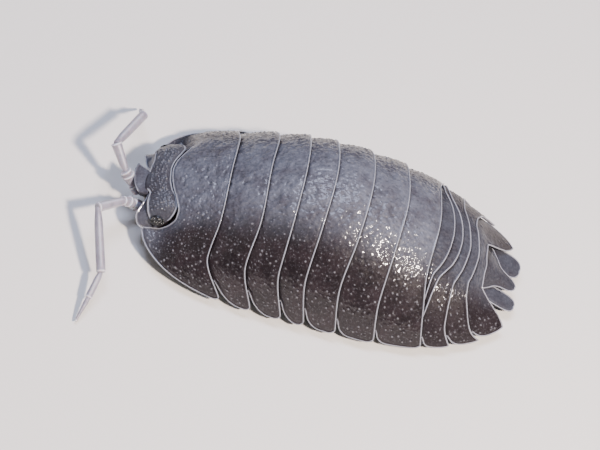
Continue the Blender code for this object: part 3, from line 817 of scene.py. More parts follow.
@dataclass
class Shell:
    """The seven plates over the legs and the five short ones behind them."""

    # The turned head shifts the neck's opening, so its two sides differ
    neck: tuple = ((-1, -8.18), (-0.9, -8.18), (-0.8, -8.12), (-0.677, -7.9), (-0.566, -7.5),
                   (-0.53, -7.25), (-0.48, -6.98), (-0.42, -6.9), (-0.35, -7.0), (-0.278, -7.2),
                   (-0.223, -7.34), (-0.148, -7.46), (-0.071, -7.5), (0.057, -7.42), (0.184, -7.23),
                   (0.25, -7.08), (0.316, -6.95), (0.395, -6.82), (0.449, -6.83), (0.496, -7.0),
                   (0.531, -7.25), (0.594, -7.64), (0.7, -7.97), (0.812, -8.14), (0.926, -8.19), (1, -8.19))
    # Stations of each rear edge at these shares, and how deep and how long each front corner is cut
    shares: tuple = (0.0, 0.4, 0.7, 1.0)
    rear: tuple = ((-4.95, -4.9, -5.05, -4.02), (-3.3, -3.2, -3.36, -2.6), (-1.8, -1.84, -1.88, -1.22),
                   (-0.46, -0.58, -0.68, -0.18), (1.2, 1.07, 0.87, 1.25), (2.93, 2.78, 2.7, 3.0),
                   (4.58, 4.45, 4.74, 5.12))
    corners: tuple = ((0.05, 0.3), (0.12, 0.8), (0.12, 0.8), (0.11, 0.7), (0.1, 0.7), (0.09, 0.6),
                      (0.08, 0.55))
    tail_shares: tuple = (0.0, 0.12, 0.25, 0.33, 0.42, 0.55, 0.75, 1.0)
    tail_rear: tuple = ((5.33, 5.28, 5.13, 4.96, 4.73, 4.66, 4.63, 4.6),
                        (5.8, 5.74, 5.55, 5.31, 5.04, 4.9, 4.79, 4.7),
                        (6.26, 6.19, 6.05, 5.91, 5.77, 5.78, 5.87, 6.42),
                        (6.75, 6.69, 6.57, 6.47, 6.5, 6.68, 7.04, 7.76),
                        (7.27, 7.22, 7.22, 7.53, 7.93, 8.3, 8.57, 8.72))
    tail_spread: tuple = (0.72, 0.85, 1.0, 1.0, 0.97)
    tail_corners: tuple = ((0.0, 0.4), (0.0, 0.4), (0.09, 0.5), (0.12, 0.6), (0.14, 0.6))
    tail_step: tuple[float, float] = (0.13, 1.2)
    tail_tuck: float = 0.5
    tail_rugged: float = 0.45
    tail_seed: int = 20
    cuticle: Cuticle = Cuticle()

    def edge(self, xs: Sequence[float], shares: Sequence[float]) -> Line:
        """Rear edge of a plate as a line over the shares, the same on both sides of the midline."""
        line = SmoothLine(((-shares[1], xs[1]), *zip(shares, xs)))
        return lambda share: line(np.abs(share))

    def plates(self) -> list[BodyPlate]:
        """All the plates, from the head to the tail."""
        edges = [self.edge(xs, self.shares) for xs in self.rear]
        covers = [SmoothLine(self.neck), *edges]
        plates = []
        for k, (cover, rear) in enumerate(zip(covers, edges)):
            name = f"plate_{k + 1}" if k else "first_plate"
            plates.append(BodyPlate(name, f"pereonite_{k + 1}", cover, rear, 1.0, self.corners[k],
                                    first=not k, seed=k + 1))
        last = before = edges[-1]
        step, power = self.tail_step
        for k, xs in enumerate(self.tail_rear):
            rear = self.edge(xs, self.tail_shares)
            plates.append(BodyPlate(f"tail_plate_{k + 1}", "pleon", self.covering(last, before), rear,
                                    self.tail_spread[k], self.tail_corners[k], step=step,
                                    step_power=power, seed=k + self.tail_seed, tuck=self.tail_tuck,
                                    slot=Slot.TAIL, rugged=self.tail_rugged))
            before = rear
        return plates

    def covering(self, last: Line, before: Line) -> Line:
        """The edge that covers a tail plate: of the plate before it, or of the last large one."""
        return lambda share: np.maximum(last(share), before(share))

    def build(self, shop: Workshop, form: BodyForm, shell: bpy.types.Material,
              tail: bpy.types.Material) -> None:
        """Makes and dresses every plate.

        Args:
            shop: Makes the objects.
            form: The form of the back.
            shell: Finish of the large plates.
            tail: Finish of the tail plates.
        """
        for plate in self.plates():
            finish = tail if plate.slot is Slot.TAIL else shell
            shop.add(plate.build(shop, form, self.cuticle), finish, plate.slot, [plate.node])


def spline_loop(points: Array, samples: int) -> Array:
    """Points on a smooth closed curve through a loop of points.

    Args:
        points: The loop's corners, as rows of coordinates.
        samples: Points for each stretch between corners.

    Returns:
        The curve's points.
    """
    t = (np.arange(samples) / samples)[:, None]
    before, start, end, after = (np.roll(points, shift, axis=0) for shift in (1, 0, -1, -2))
    pieces = []
    for k in range(len(points)):
        a, b, c, d = before[k], start[k], end[k], after[k]
        pieces.append(0.5 * (2 * b + (c - a) * t + (2 * a - 5 * b + 4 * c - d) * t ** 2
                             + (3 * b - a - 3 * c + d) * t ** 3))
    return np.concatenate(pieces)


@dataclass(frozen=True)
class ShieldLine:
    """A line across the head's front shield, seen in the shield's own frame."""

    x: float
    half: float
    middle: float
    z: float
    skew: tuple[float, float] = (0.0, 0.0)
    bow: tuple[float, float] = (0.0, 0.0)
    bow_power: float = 2.6

    def points(self, s: Array) -> Array:
        """Points of the line, from s = -1 at its left end to s = 1 at its right one."""
        x = self.x + self.skew[0] * s - self.bow[0] * (1 - np.abs(s) ** self.bow_power)
        z = self.z + self.skew[1] * s + self.bow[1] * (1 - s * s)
        return np.stack((x, self.half * s + self.middle, z), axis=-1)


@dataclass(frozen=True)
class ShieldStretch:
    """One side of the shield's section: its first line, its rows, and how far it bulges."""

    line: ShieldLine
    rows: int
    push: tuple[float, float, float] = (0.0, 0.0, 0.0)


@dataclass
class Shield:
    """The three-cornered shield at the front of the head."""

    at: tuple[float, float, float] = (-8.915, -0.135, 0.0)
    turn: float = math.radians(10)
    columns: int = 61
    # The head's lean shows more of the shield's left side, which runs on into the forehead
    stretches: tuple[ShieldStretch, ...] = (
        ShieldStretch(ShieldLine(0.46, 0.6, -0.38, 1.94, skew=(0.03, 0.05)), 18, (0.0, 0.0, -0.03)),
        ShieldStretch(ShieldLine(0.0, 0.76, -0.03, 1.77, bow=(0.17, 0.04)), 22, (0.03, 0.0, -0.05)),
        ShieldStretch(ShieldLine(0.12, 0.3, -0.2, 1.05), 5),
        ShieldStretch(ShieldLine(0.5, 0.5, -0.3, 1.3), 5))
    ripples: tuple = ((0.18, 0.006),)
    grains: Spots = Spots(0.13, 0.04, 0.016, 0.35, 0.8, 0.5)
    grain_field: tuple[float, float] = (0.5, 0.7)
    grain_at: tuple[float, float, float] = (-0.02, -0.1, 1.77)
    grain_slope: float = 0.45
    grain_seed: int = 62
    ripple_seed: int = 61
    # Share of painted shade on the shield, against the back colour's painted sheen
    flank: float = 0.35

    def grid(self) -> Array:
        """Rings of the shield from its left end to its right one, each starting at the back line."""
        s = np.linspace(-1, 1, self.columns)
        rows = []
        for stretch, after in zip(self.stretches, (*self.stretches[1:], self.stretches[0])):
            start, end = stretch.line.points(s), after.line.points(s)
            for t in np.arange(stretch.rows) / stretch.rows:
                rows.append(start * (1 - t) + end * t + np.array(stretch.push) * math.sin(math.pi * t))
        return np.stack(rows, axis=1)

    def build(self, shop: Workshop, cuticle: Cuticle) -> bpy.types.Object:
        """Makes the shield, with a bead along its rim and its right side, and grains on its top."""
        grid = self.grid()
        normals = outward_normals(grid, grid.reshape(-1, 3).mean(axis=0))
        top = self.stretches[0].rows
        rng = np.random.default_rng(self.grain_seed)
        along, across = self.grains.lattice(rng, *self.grain_field)
        places = np.stack((along, across, self.grain_slope * along), axis=-1) + self.grain_at
        lift, marks = cuticle.relief(grid, [], [self.grains.varied(rng, places)],
                                     Grain(self.ripple_seed).waves(grid, self.ripples),
                                     [grid[:, top], grid[-1, :top]])
        marks[Mark.FLANK] = np.full(lift.shape, self.flank)
        points, faces, marks = cuticle.ringed(grid, normals, lift, marks)
        return shop.solid("head_shield", turned_level(points, self.turn) + self.at, faces, marks)


@dataclass
class Head:
    """The head: skull, front shield, a flange over each feeler's root, mouthparts and eyes."""

    # The head leans a little, so that its right half stands wider and its left one narrower
    halves: tuple[float, float] = (2.12, 2.42)
    middle: tuple[float, float] = (-7.85, 1.35)
    # Places across the head, each with the station or the height of the ridge or the nape there
    ridge_x: tuple = ((-2.05, -8.12), (-1.68, -8.27), (-1.165, -8.33), (-0.8, -8.29), (-0.54, -8.46),
                      (-0.2, -8.5), (0.37, -8.44), (0.75, -8.37), (1.11, -8.31), (1.43, -8.3),
                      (1.75, -8.24), (2.1, -8.05), (2.42, -7.8))
    ridge_z: tuple = ((-2.05, 1.58), (-1.68, 1.78), (-1.165, 1.88), (-0.8, 1.92), (-0.54, 1.95), (0, 1.97),
                      (0.54, 1.97), (1.11, 1.92), (1.43, 1.84), (1.75, 1.76), (2.1, 1.68), (2.42, 1.6))
    nape_x: tuple = ((-2.12, -7.42), (-2.05, -7.2), (-1.93, -7.08), (-1.65, -7.05), (-1.26, -7.14),
                     (-1, -7.22), (-0.69, -7.38), (-0.1, -7.52), (0.49, -7.54), (0.83, -7.48),
                     (1.18, -7.34), (1.5, -7.16), (1.84, -7.02), (2.1, -7.0), (2.3, -7.1), (2.42, -7.3))
    nape_drop: float = 0.1
    nape_level: float = 1.75
    nape_fall: float = 0.35
    rise: float = 0.12
    columns: int = 200
    column_blend: float = 0.6
    top_rows: int = 52
    # Below the ridge and below the nape: steps back from them, with heights or steps down
    brow: tuple[float, float] = (0.01, 0.16)
    face: tuple = ((0.06, 1.25), (0.15, 1.0))
    nape_steps: tuple = ((0.02, 0.2), (0.03, 0.12))
    nape_foot: float = 1.3
    chin: tuple[float, float] = (-8.02, 0.78)
    throat: tuple[float, float] = (-7.45, 0.75)
    jaw: float = 0.66
    smooth: int = 6
    cheek_power: float = 8.0
    cheek_least: float = 0.2
    pole: float = 0.02
    turn: float = math.radians(5)
    shift: float = -0.1
    neck: float = -7.3
    nape_bead: tuple[float, float] = (-2.0, 2.25)
    ridge_beads: tuple = ((-1.95, -0.6), (0.33, 1.6))
    lumps: tuple = ((0.16, 0.016), (0.3, 0.014))
    face_lumps: float = 0.25
    grains: tuple[Spots, ...] = (Spots(0.15, 0.066, 0.055, 0.28, 0.96, 0.6),
                                 Spots(0.1, 0.045, 0.022, 0.35, 0.85, 0.3))
    grain_field: tuple[float, float] = (1.4, 2.0)
    grain_margin: float = 0.14
    grain_shares: tuple[float, float] = (0.1, 0.95)
    grain_seed: int = 7
    lump_seed: int = 51
    # Painted shade between the top's granules, and the share of painted shade on the top; the face below
    # gets all of it
    between_dark: float = 0.5
    top_flank: float = 0.35
    flange_inner: tuple = ((-8.26, 0.7, 1.9), (-8.33, 1.165, 1.85), (-8.3, 1.45, 1.78), (-8.26, 1.7, 1.68),
                           (-8.16, 1.92, 1.5), (-7.98, 1.98, 1.36), (-7.75, 2.0, 1.34), (-7.5, 1.96, 1.4),
                           (-7.3, 1.86, 1.55))
    flange_outer: tuple = ((-8.34, 0.7, 1.84), (-8.46, 1.05, 1.7), (-8.63, 1.34, 1.55), (-8.76, 1.66, 1.38),
                           (-8.7, 1.94, 1.22), (-8.52, 2.11, 1.1), (-8.2, 2.14, 1.0), (-7.75, 2.1, 1.0),
                           (-7.28, 1.94, 1.25))
    # The right flange runs on under the ridge, up to the shield
    flange_start: tuple = ((-8.42, 0.5, 1.86), (-8.56, 0.85, 1.52), (-8.67, 1.25, 1.38))
    # How much lower the flange hangs on each side, for each millimetre beyond its corner
    flange_hang: tuple[float, float] = (0.0, 0.4)
    flange_corner: float = 1.41
    flange_sag: float = 0.06
    flange_tuck: float = 0.12
    flange_grid: tuple[int, int] = (90, 12)
    flange_ripples: tuple = ((0.2, 0.008),)
    flange_seed: int = 60
    # Share of painted shade on the flanges, against the back colour's painted sheen
    flange_flank: float = 0.4
    palps: tuple = (((-8.02, 0.34, 0.82), (0.26, 0.3, 0.4)), ((-8.28, 0.15, 0.72), (0.2, 0.15, 0.3)))
    palp_mesh: tuple[int, int] = (14, 24)
    eye: tuple[float, float, float] = (-7.78, 1.95, 1.6)
    eye_lower: tuple[float, float] = (0.0, 0.36)
    eye_radii: tuple[float, float, float] = (0.34, 0.24, 0.29)
    eye_proud: float = 0.02
    eye_dome: float = 0.93
    eye_mesh: tuple[int, int] = (16, 26)
    facet: float = 0.06
    facet_rise: float = 0.88
    facet_radius: float = 0.62
    facet_sink: float = 0.03
    facets: tuple[int, int] = (7, 5)
    facet_edge: float = 0.08
    facet_mesh: tuple[int, int] = (6, 9)
    shield: Shield = field(default_factory=Shield)
    cuticle: Cuticle = Cuticle()

    def turned(self, points: Array) -> Array:
        """Points of the head turned about the neck into their pose."""
        return turned_level(points - (self.neck, 0, 0), self.turn) + (self.neck, self.shift, 0)

    def nape_height(self, form: BodyForm, x: Array, y: Array) -> Array:
        """Height of the head's rear rim, a little below the form of the back, but level at the far right."""
        near = np.minimum(y, self.nape_level)
        turn = np.arcsin(np.clip(-near / form.half_width(x) * math.sin(form.side_turn), -1, 1))
        fall = self.nape_fall * np.maximum(y - self.nape_level, 0)
        return form.back(x, turn / form.side_turn, 0.0)[..., 2] - self.nape_drop - fall

    def top(self, form: BodyForm, y: Array, t: Array) -> Array:
        """Stations and heights of the head's smooth top.

        Args:
            form: The form of the back, which the nape follows.
            y: Places across the head.
            t: Places from the nape at 0 to the ridge at 1.

        Returns:
            Pairs of x and z.
        """
        nape_x = SmoothLine(self.nape_x)(y)
        nape = np.stack((nape_x, self.nape_height(form, nape_x, y)), axis=-1)
        ridge = np.stack((SmoothLine(self.ridge_x)(y), SmoothLine(self.ridge_z)(y)), axis=-1)
        points = nape * (1 - t[..., None]) + ridge * t[..., None]
        points[..., 1] += self.rise * np.sin(np.pi * t)
        return points

    def section(self, nape: Array, ridge: Array) -> Array:
        """Points of the lower part of a section through the skull, from the ridge round to the nape."""
        (nx, nz), (rx, rz) = nape, ridge
        (near, above), (far, below) = self.nape_steps
        corners = np.array([(rx, rz), (rx + self.brow[0], rz - self.brow[1]),
                            *((rx + back, z) for back, z in self.face), self.chin,
                            ((self.chin[0] + self.throat[0]) / 2, self.jaw), self.throat,
                            (nx + near, min(self.nape_foot, nz - above)), (nx + far, nz - below), (nx, nz)])
        return spline_loop(corners, self.smooth)[1:-self.smooth - 1]

    def skull_grid(self, form: BodyForm) -> Array:
        """Rings of the skull from left to right, each starting at the nape and running over the top."""
        turn = np.pi * (np.linspace(0, 1, self.columns) - 0.5)
        across = self.column_blend * np.sin(turn) + (1 - self.column_blend) * turn / (np.pi / 2)
        across = across[1:-1]
        y = np.where(across < 0, *self.halves) * across
        top = self.top(form, y[:, None], np.linspace(0, 1, self.top_rows)[None, :])
        flat = np.array([np.concatenate((row, self.section(row[0], row[-1]))) for row in top])
        shrink = self.cheek_least + (1 - self.cheek_least) * np.sqrt(1 - np.abs(across) ** self.cheek_power)
        flat = np.array(self.middle) + (flat - np.array(self.middle)) * shrink[:, None, None]
        width = np.broadcast_to(y[:, None], flat.shape[:2])
        return np.stack((flat[..., 0], width, flat[..., 1]), axis=-1)

    def on_top(self, form: BodyForm, along: Array, across: Array) -> Array:
        """Points on the head's top, so many millimetres ahead of the nape."""
        t = along / (SmoothLine(self.nape_x)(across) - SmoothLine(self.ridge_x)(across))
        low, high = self.grain_shares
        kept = (t > low) & (t < high)
        x, z = self.top(form, across[kept], t[kept]).T
        return np.stack((x, across[kept], z), axis=-1)

    def build_skull(self, shop: Workshop, form: BodyForm) -> bpy.types.Object:
        """Makes the skull, with coarse grains over its top and a bead along its nape and its ridge."""
        grid = self.skull_grid(form)
        normals = outward_normals(grid, np.array((self.middle[0], 0, self.middle[1])))
        y = grid[:, 0, 1]
        nape, ridge = grid[:, 0], grid[:, self.top_rows - 1]
        spans = ((nape, self.nape_bead), *((ridge, span) for span in self.ridge_beads))
        beads = [line[(y > low) & (y < high)] for line, (low, high) in spans]
        rng = np.random.default_rng(self.grain_seed)
        spots = []
        for kind in self.grains:
            along, across = kind.lattice(rng, *self.grain_field)
            spots.append(kind.varied(rng, self.on_top(form, along + self.grain_margin, across)))
        top = (np.arange(grid.shape[1]) < self.top_rows)[None, :]
        uneven = Grain(self.lump_seed).waves(grid, self.lumps) * np.where(top, 1.0, self.face_lumps)
        lift, marks = self.cuticle.relief(grid, [], spots, uneven, beads)
        # Painted shade between the granules of the head's top
        between = self.between_dark * (1 - marks[Mark.GRANULE]) * (1 - marks[Mark.RIM])
        marks[Mark.CLEFT] = np.maximum(marks[Mark.CLEFT], between * top)
        # Painted shade on the face below the ridge, and some on the top under the back's painted sheen
        marks[Mark.FLANK] = np.broadcast_to(np.where(top, self.top_flank, 1.0), lift.shape)
        points, faces, marks = self.cuticle.ringed(grid, normals, lift, marks, self.pole)
        return shop.solid("head_capsule", self.turned(points), faces, marks)

    def flange_lines(self, side: Side) -> list[Array]:
        """Inner and outer edge of the flange of one side, as smooth lines."""
        start = self.flange_start if side is Side.RIGHT else ()
        lines = []
        for table in (self.flange_inner, start + self.flange_outer[len(start):]):
            t = np.linspace(0, 1, len(table))
            points = np.array(table) * (1, side.value, 1)
            curves = [SmoothLine(np.stack((t, values), axis=-1)) for values in points.T]
            fine = np.linspace(0, 1, self.flange_grid[0])
            lines.append(np.stack([curve(fine) for curve in curves], axis=-1))
        return lines

    def build_flange(self, shop: Workshop, side: Side) -> bpy.types.Object:
        """Makes the flange that runs from above a feeler's root to below the eye."""
        inner, outer = self.flange_lines(side)
        beyond = np.maximum(np.abs(outer[:, 1]) - self.flange_corner, 0)
        outer[:, 2] -= beyond * self.flange_hang[side is Side.RIGHT]
        inner = inner - unit(outer - inner) * self.flange_tuck
        width = np.linalg.norm(outer - inner, axis=1).mean()
        inward = np.linspace(0, 1 - BodyPlate.SEAM / width, self.flange_grid[1])
        steps = np.concatenate((inward, 1 - np.array(BodyPlate.MARGIN)[::-1] / width))
        grid = inner[:, None] + (outer - inner)[:, None] * steps[None, :, None]
        grid[..., 2] -= self.flange_sag * np.sin(np.pi * steps)[None, :]
        ripples = Grain(self.flange_seed).waves(grid, self.flange_ripples)
        lift, marks = self.cuticle.relief(grid, [outer], [], ripples)
        marks[Mark.FLANK] = np.full(lift.shape, self.flange_flank)
        points, faces, marks = self.cuticle.closed(grid, lift, marks, upward_normals(grid))
        return shop.solid(f"head_flange_{side.word}", self.turned(points), faces, marks)

    def build_mouth(self, shop: Workshop) -> bpy.types.Object:
        """Makes the mouthparts: two pairs of blunt palps under the head."""
        points, faces = joined(rounded((x, side.value * y, z), radii, *self.palp_mesh)
                               for ((x, y, z), radii), side in itertools.product(self.palps, Side))
        return shop.solid("head_mouthparts", self.turned(points), faces)

    def build_eye(self, shop: Workshop, side: Side) -> bpy.types.Object:
        """Makes an eye: a cluster of round simple lenses on a low dome."""
        x, y, z = self.eye
        right = side is Side.RIGHT
        y = y - self.halves[0] + self.halves[right] + self.eye_proud
        centre = np.array((x, side.value * y, z - self.eye_lower[right]))
        radii = np.array(self.eye_radii)
        forms = [rounded(centre, radii * self.eye_dome, *self.eye_mesh)]
        columns, rows = self.facets
        lens = np.full(3, self.facet * self.facet_radius)
        for row, place in itertools.product(range(2 * rows + 1), range(-columns, columns + 1)):
            rise = (row - rows) * self.facet * self.facet_rise
            along = (place + 0.5 * (row % 2)) * self.facet
            inside = 1 - (along / radii[0]) ** 2 - (rise / radii[2]) ** 2
            if inside > self.facet_edge:
                out = side.value * (radii[1] * math.sqrt(inside) - self.facet_sink)
                forms.append(rounded(centre + (along, out, rise), lens, *self.facet_mesh))
        points, faces = joined(forms)
        return shop.solid(f"eye_{side.word}_lenses", self.turned(points), faces)

    def build(self, shop: Workshop, form: BodyForm, cuticle: bpy.types.Material, soft: bpy.types.Material,
              lens: bpy.types.Material) -> None:
        """Makes and dresses the head and the eyes.

        Args:
            shop: Makes the objects.
            form: The form of the back, which the nape follows.
            cuticle: Finish of the hard parts.
            soft: Finish of the mouthparts.
            lens: Finish of the eyes.
        """
        shop.add(self.build_skull(shop, form), cuticle, Slot.SHELL, ["head"])
        shop.add(self.shield.build(shop, self.cuticle), cuticle, Slot.SHELL, ["head"])
        shop.add(self.build_mouth(shop), soft, Slot.SHELL, ["head"])
        for side in Side:
            shop.add(self.build_flange(shop, side), cuticle, Slot.SHELL, ["head"])
            shop.add(self.build_eye(shop, side), lens, Slot.EYE, [f"eye_{side.word}"])


@dataclass(frozen=True)
class Article:
    """One hard joint of a limb: a tapered tube that flares to a collar at its far end."""

    start: tuple[float, float, float]
    end: tuple[float, float, float]
    radius: tuple[float, float]
    collar: float = 0.03
    ridges: float = 0.0
    waist: float = 0.8
    around: int = 30
    rings: int = 34
    # The collar's distance from the end, and its width; then the length over which each end closes
    collar_at: tuple[float, float] = (0.05, 0.035)
    closing: tuple[float, float] = (0.06, 0.05)
    closed_share: float = 0.35
    least: float = 0.004
    waist_share: float = 0.3
    # The four ridges: how narrow and how pale they are, and over which shares they rise and fade
    ridge_power: int = 6
    ridge_pale: float = 0.5
    ridge_rise: tuple[float, float] = (0.05, 0.2)
    ridge_fade: tuple[float, float] = (0.85, 0.98)

    def end_share(self, distance: Array, span: float) -> Array:
        """How much of the radius is left so far from an end that closes over a span."""
        rounding = np.sqrt(np.clip(1 - (1 - distance / span) ** 2, 0, 1))
        return self.closed_share + (1 - self.closed_share) * np.where(distance < span, rounding, 1.0)

    def build(self) -> tuple[Array, Faces, Array]:
        """Points, faces and rim marks of the joint.

        Returns:
            The points, the faces and how much of a pale rim each point is.
        """
        start, end = np.array(self.start, float), np.array(self.end, float)
        length = float(np.linalg.norm(end - start))
        axis = (end - start) / length
        across = unit(np.cross(axis, (0.0, 0.0, 1.0) if abs(axis[2]) < 0.9 else (1.0, 0.0, 0.0)))
        up = np.cross(across, axis)
        t = 0.5 - 0.5 * np.cos(np.pi * np.linspace(0, 1, self.rings))
        turn = 2 * np.pi * np.arange(self.around) / self.around
        collar_at, collar_width = self.collar_at
        band = np.exp(-(((1 - t) * length - collar_at) / collar_width) ** 2)
        radius = self.radius[0] + (self.radius[1] - self.radius[0]) * t
        waist = self.waist + (1 - self.waist) * eased(0, self.waist_share, t)
        radius = radius * waist + self.collar * band
        radius = radius * self.end_share(t * length, self.closing[0])
        radius = np.maximum(radius * self.end_share((1 - t) * length, self.closing[1]), self.least)
        ribs = np.abs(np.cos(2 * turn)) ** self.ridge_power
        middle = eased(*self.ridge_rise, t) * (1 - eased(*self.ridge_fade, t))
        swell = radius[:, None] * (1 + self.ridges * ribs[None, :] * middle[:, None])
        ring = np.cos(turn)[:, None] * across + np.sin(turn)[:, None] * up
        points = start + axis * (t * length)[:, None, None] + ring[None] * swell[..., None]
        poles = np.array([start + axis * self.least, end - axis * self.least])
        pale = self.ridge_pale * (self.ridges > 0)
        rim = np.maximum(band[:, None], pale * ribs[None, :] * middle[:, None])
        rim = np.concatenate((np.broadcast_to(rim, points.shape[:2]).reshape(-1), (0, 0)))
        points = np.concatenate((points.reshape(-1, 3), poles))
        return points, ring_faces(self.rings, self.around), rim


def limb(shop: Workshop, name: str, articles: Sequence[Article]) -> bpy.types.Object:
    """Makes one piece of several joints in a row.

    Args:
        shop: Makes the object.
        name: Name of the piece.
        articles: Its joints.

    Returns:
        The piece.
    """
    built = [article.build() for article in articles]
    points, faces = joined(form[:2] for form in built)
    return shop.solid(name, points, faces, {Mark.RIM: np.concatenate([form[2] for form in built])})


@dataclass
class Feelers:
    """The two jointed feelers, bent at the elbow."""

    left: tuple = (
        Article((-8.5, -1.0, 0.84), (-8.88, -1.2, 1.12), (0.27, 0.25), 0.0),
        Article((-8.8, -1.18, 1.04), (-9.1, -1.32, 1.38), (0.2, 0.25), 0.02),
        Article((-9.02, -1.28, 1.3), (-9.32, -1.52, 1.6), (0.16, 0.2), 0.025),
        Article((-9.2, -1.43, 1.52), (-10.3, -2.5, 1.95), (0.18, 0.22), 0.025, 0.07, 0.8),
        Article((-10.28, -2.46, 1.94), (-9.41, -5.14, 0.97), (0.17, 0.2), 0.012, 0.1, 0.8),
        Article((-9.42, -5.1, 0.98), (-9.67, -6.3, 0.52), (0.14, 0.155), 0.012, 0.04, 0.75),
        Article((-9.66, -6.26, 0.53), (-9.95, -7.4, 0.16), (0.13, 0.045), 0.0, 0.0, 0.85))
    right: tuple = (
        Article((-8.75, -0.35, 0.85), (-9.1, -0.27, 1.18), (0.24, 0.2), 0.0),
        Article((-8.95, -0.3, 1.05), (-9.42, -0.15, 1.76), (0.13, 0.31), 0.015),
        Article((-9.38, -0.17, 1.72), (-9.55, -0.1, 1.9), (0.22, 0.26), 0.015),
        Article((-9.5, -0.12, 1.84), (-10.25, 0.7, 2.68), (0.16, 0.24), 0.025, 0.07, 0.72),
        Article((-10.24, 0.64, 2.68), (-9.4, 3.17, 2.05), (0.19, 0.21), 0.012, 0.1, 0.8),
        Article((-9.41, 3.12, 2.06), (-9.58, 4.05, 1.12), (0.11, 0.12), 0.01, 0.04, 0.75),
        Article((-9.575, 4.01, 1.15), (-9.7, 4.84, 0.24), (0.1, 0.04), 0.0, 0.0, 0.85))

    def build(self, shop: Workshop, finish: bpy.types.Material) -> None:
        """Makes and dresses both feelers."""
        for side, articles in ((Side.LEFT, self.left), (Side.RIGHT, self.right)):
            piece = limb(shop, f"feeler_{side.word}", articles)
            shop.add(piece, finish, Slot.FEELER, [f"antenna_{side.word}"])


@dataclass
class Legs:
    """Seven pairs of jointed walking legs, which stand on the floor under the skirt."""

    root_x: tuple = (-5.9, -4.05, -2.6, -1.2, 0.3, 2.0, 3.7)
    foot_x: tuple = (-6.8, -5.15, -3.3, -1.2, 0.9, 3.0, 5.0)
    foot_y: tuple = (3.05, 3.55, 3.72, 3.76, 3.8, 3.8, 3.6)
    root_y: float = 2.05
    knee_y: float = 3.15
    knee_z: float = 0.95
    knee_share: float = 0.45
    knee_inside: float = 0.5
    # How far the hip reaches into the belly and below it
    hip: tuple[float, float] = (0.1, 0.4)
    # For the joints on each side of the knee: their share of the way, how far out and how far below it
    thigh: tuple[float, float, float] = (0.2, 0.42, 0.06)
    shin: tuple[float, float, float] = (0.32, 0.24, 0.26)
    knee_drop: float = 0.08
    # How far the ankle stays behind and inside the foot, and how far the claw runs ahead and outside
    ankle: tuple[float, float] = (0.06, 0.03)
    claw: tuple[float, float] = (0.05, 0.02)
    ankle_z: float = 0.42
    claw_z: float = 0.17
    radii: tuple = (0.26, 0.24, 0.23, 0.21, 0.19, 0.15, 0.1, 0.03)
    taper: float = 0.85
    collar: float = 0.015
    mesh: tuple[int, int] = (20, 16)

    def joints(self, form: BodyForm, k: int) -> Array:
        """Ends of the joints of one leg on the right side, from the belly to the claw."""
        root_x, foot_x, foot_y = self.root_x[k], self.foot_x[k], self.foot_y[k]
        reach = foot_x - root_x
        knee_x = root_x + self.knee_share * reach
        knee_y = min(self.knee_y, foot_y - self.knee_inside)
        share = self.root_y / float(form.half_width(np.array(root_x)))
        top = float(form.belly_height(np.array(root_x), np.array(share)))
        thigh_x = root_x + self.thigh[0] * reach
        shin_x = knee_x + self.shin[0] * (foot_x - knee_x)
        return np.array(((root_x, self.root_y, top + self.hip[0]),
                         (root_x, self.root_y, top - self.hip[1]),
                         (thigh_x, self.root_y + self.thigh[1], self.knee_z - self.thigh[2]),
                         (knee_x, knee_y, self.knee_z - self.knee_drop),
                         (shin_x, knee_y + self.shin[1], self.knee_z - self.shin[2]),
                         (foot_x - self.ankle[0] * reach, foot_y - self.ankle[1], self.ankle_z),
                         (foot_x, foot_y, self.claw_z),
                         (foot_x + self.claw[0] * np.sign(reach), foot_y + self.claw[1], 0.0)))

    def build(self, shop: Workshop, form: BodyForm, finish: bpy.types.Material) -> None:
        """Makes and dresses the fourteen legs."""
        around, rings = self.mesh
        for k, side in itertools.product(range(len(self.root_x)), Side):
            ends = self.joints(form, k) * (1, side.value, 1)
            spans = zip(ends, ends[1:], self.radii, self.radii[1:])
            articles = [Article(tuple(a), tuple(b), (wide * self.taper, narrow), self.collar,
                                waist=self.taper, around=around, rings=rings)
                        for a, b, wide, narrow in spans]
            shop.add(limb(shop, f"leg_{side.word}_{k + 1}_joints", articles), finish, Slot.LEG,
                     [f"leg_{side.word}_{k + 1}"])


@dataclass(frozen=True)
class Oar:
    """Where one of the two oval plates beside the tail plate lies, seen from above."""

    side: Side
    root: tuple[float, float]
    tip: tuple[float, float]
    half: float
    height: float


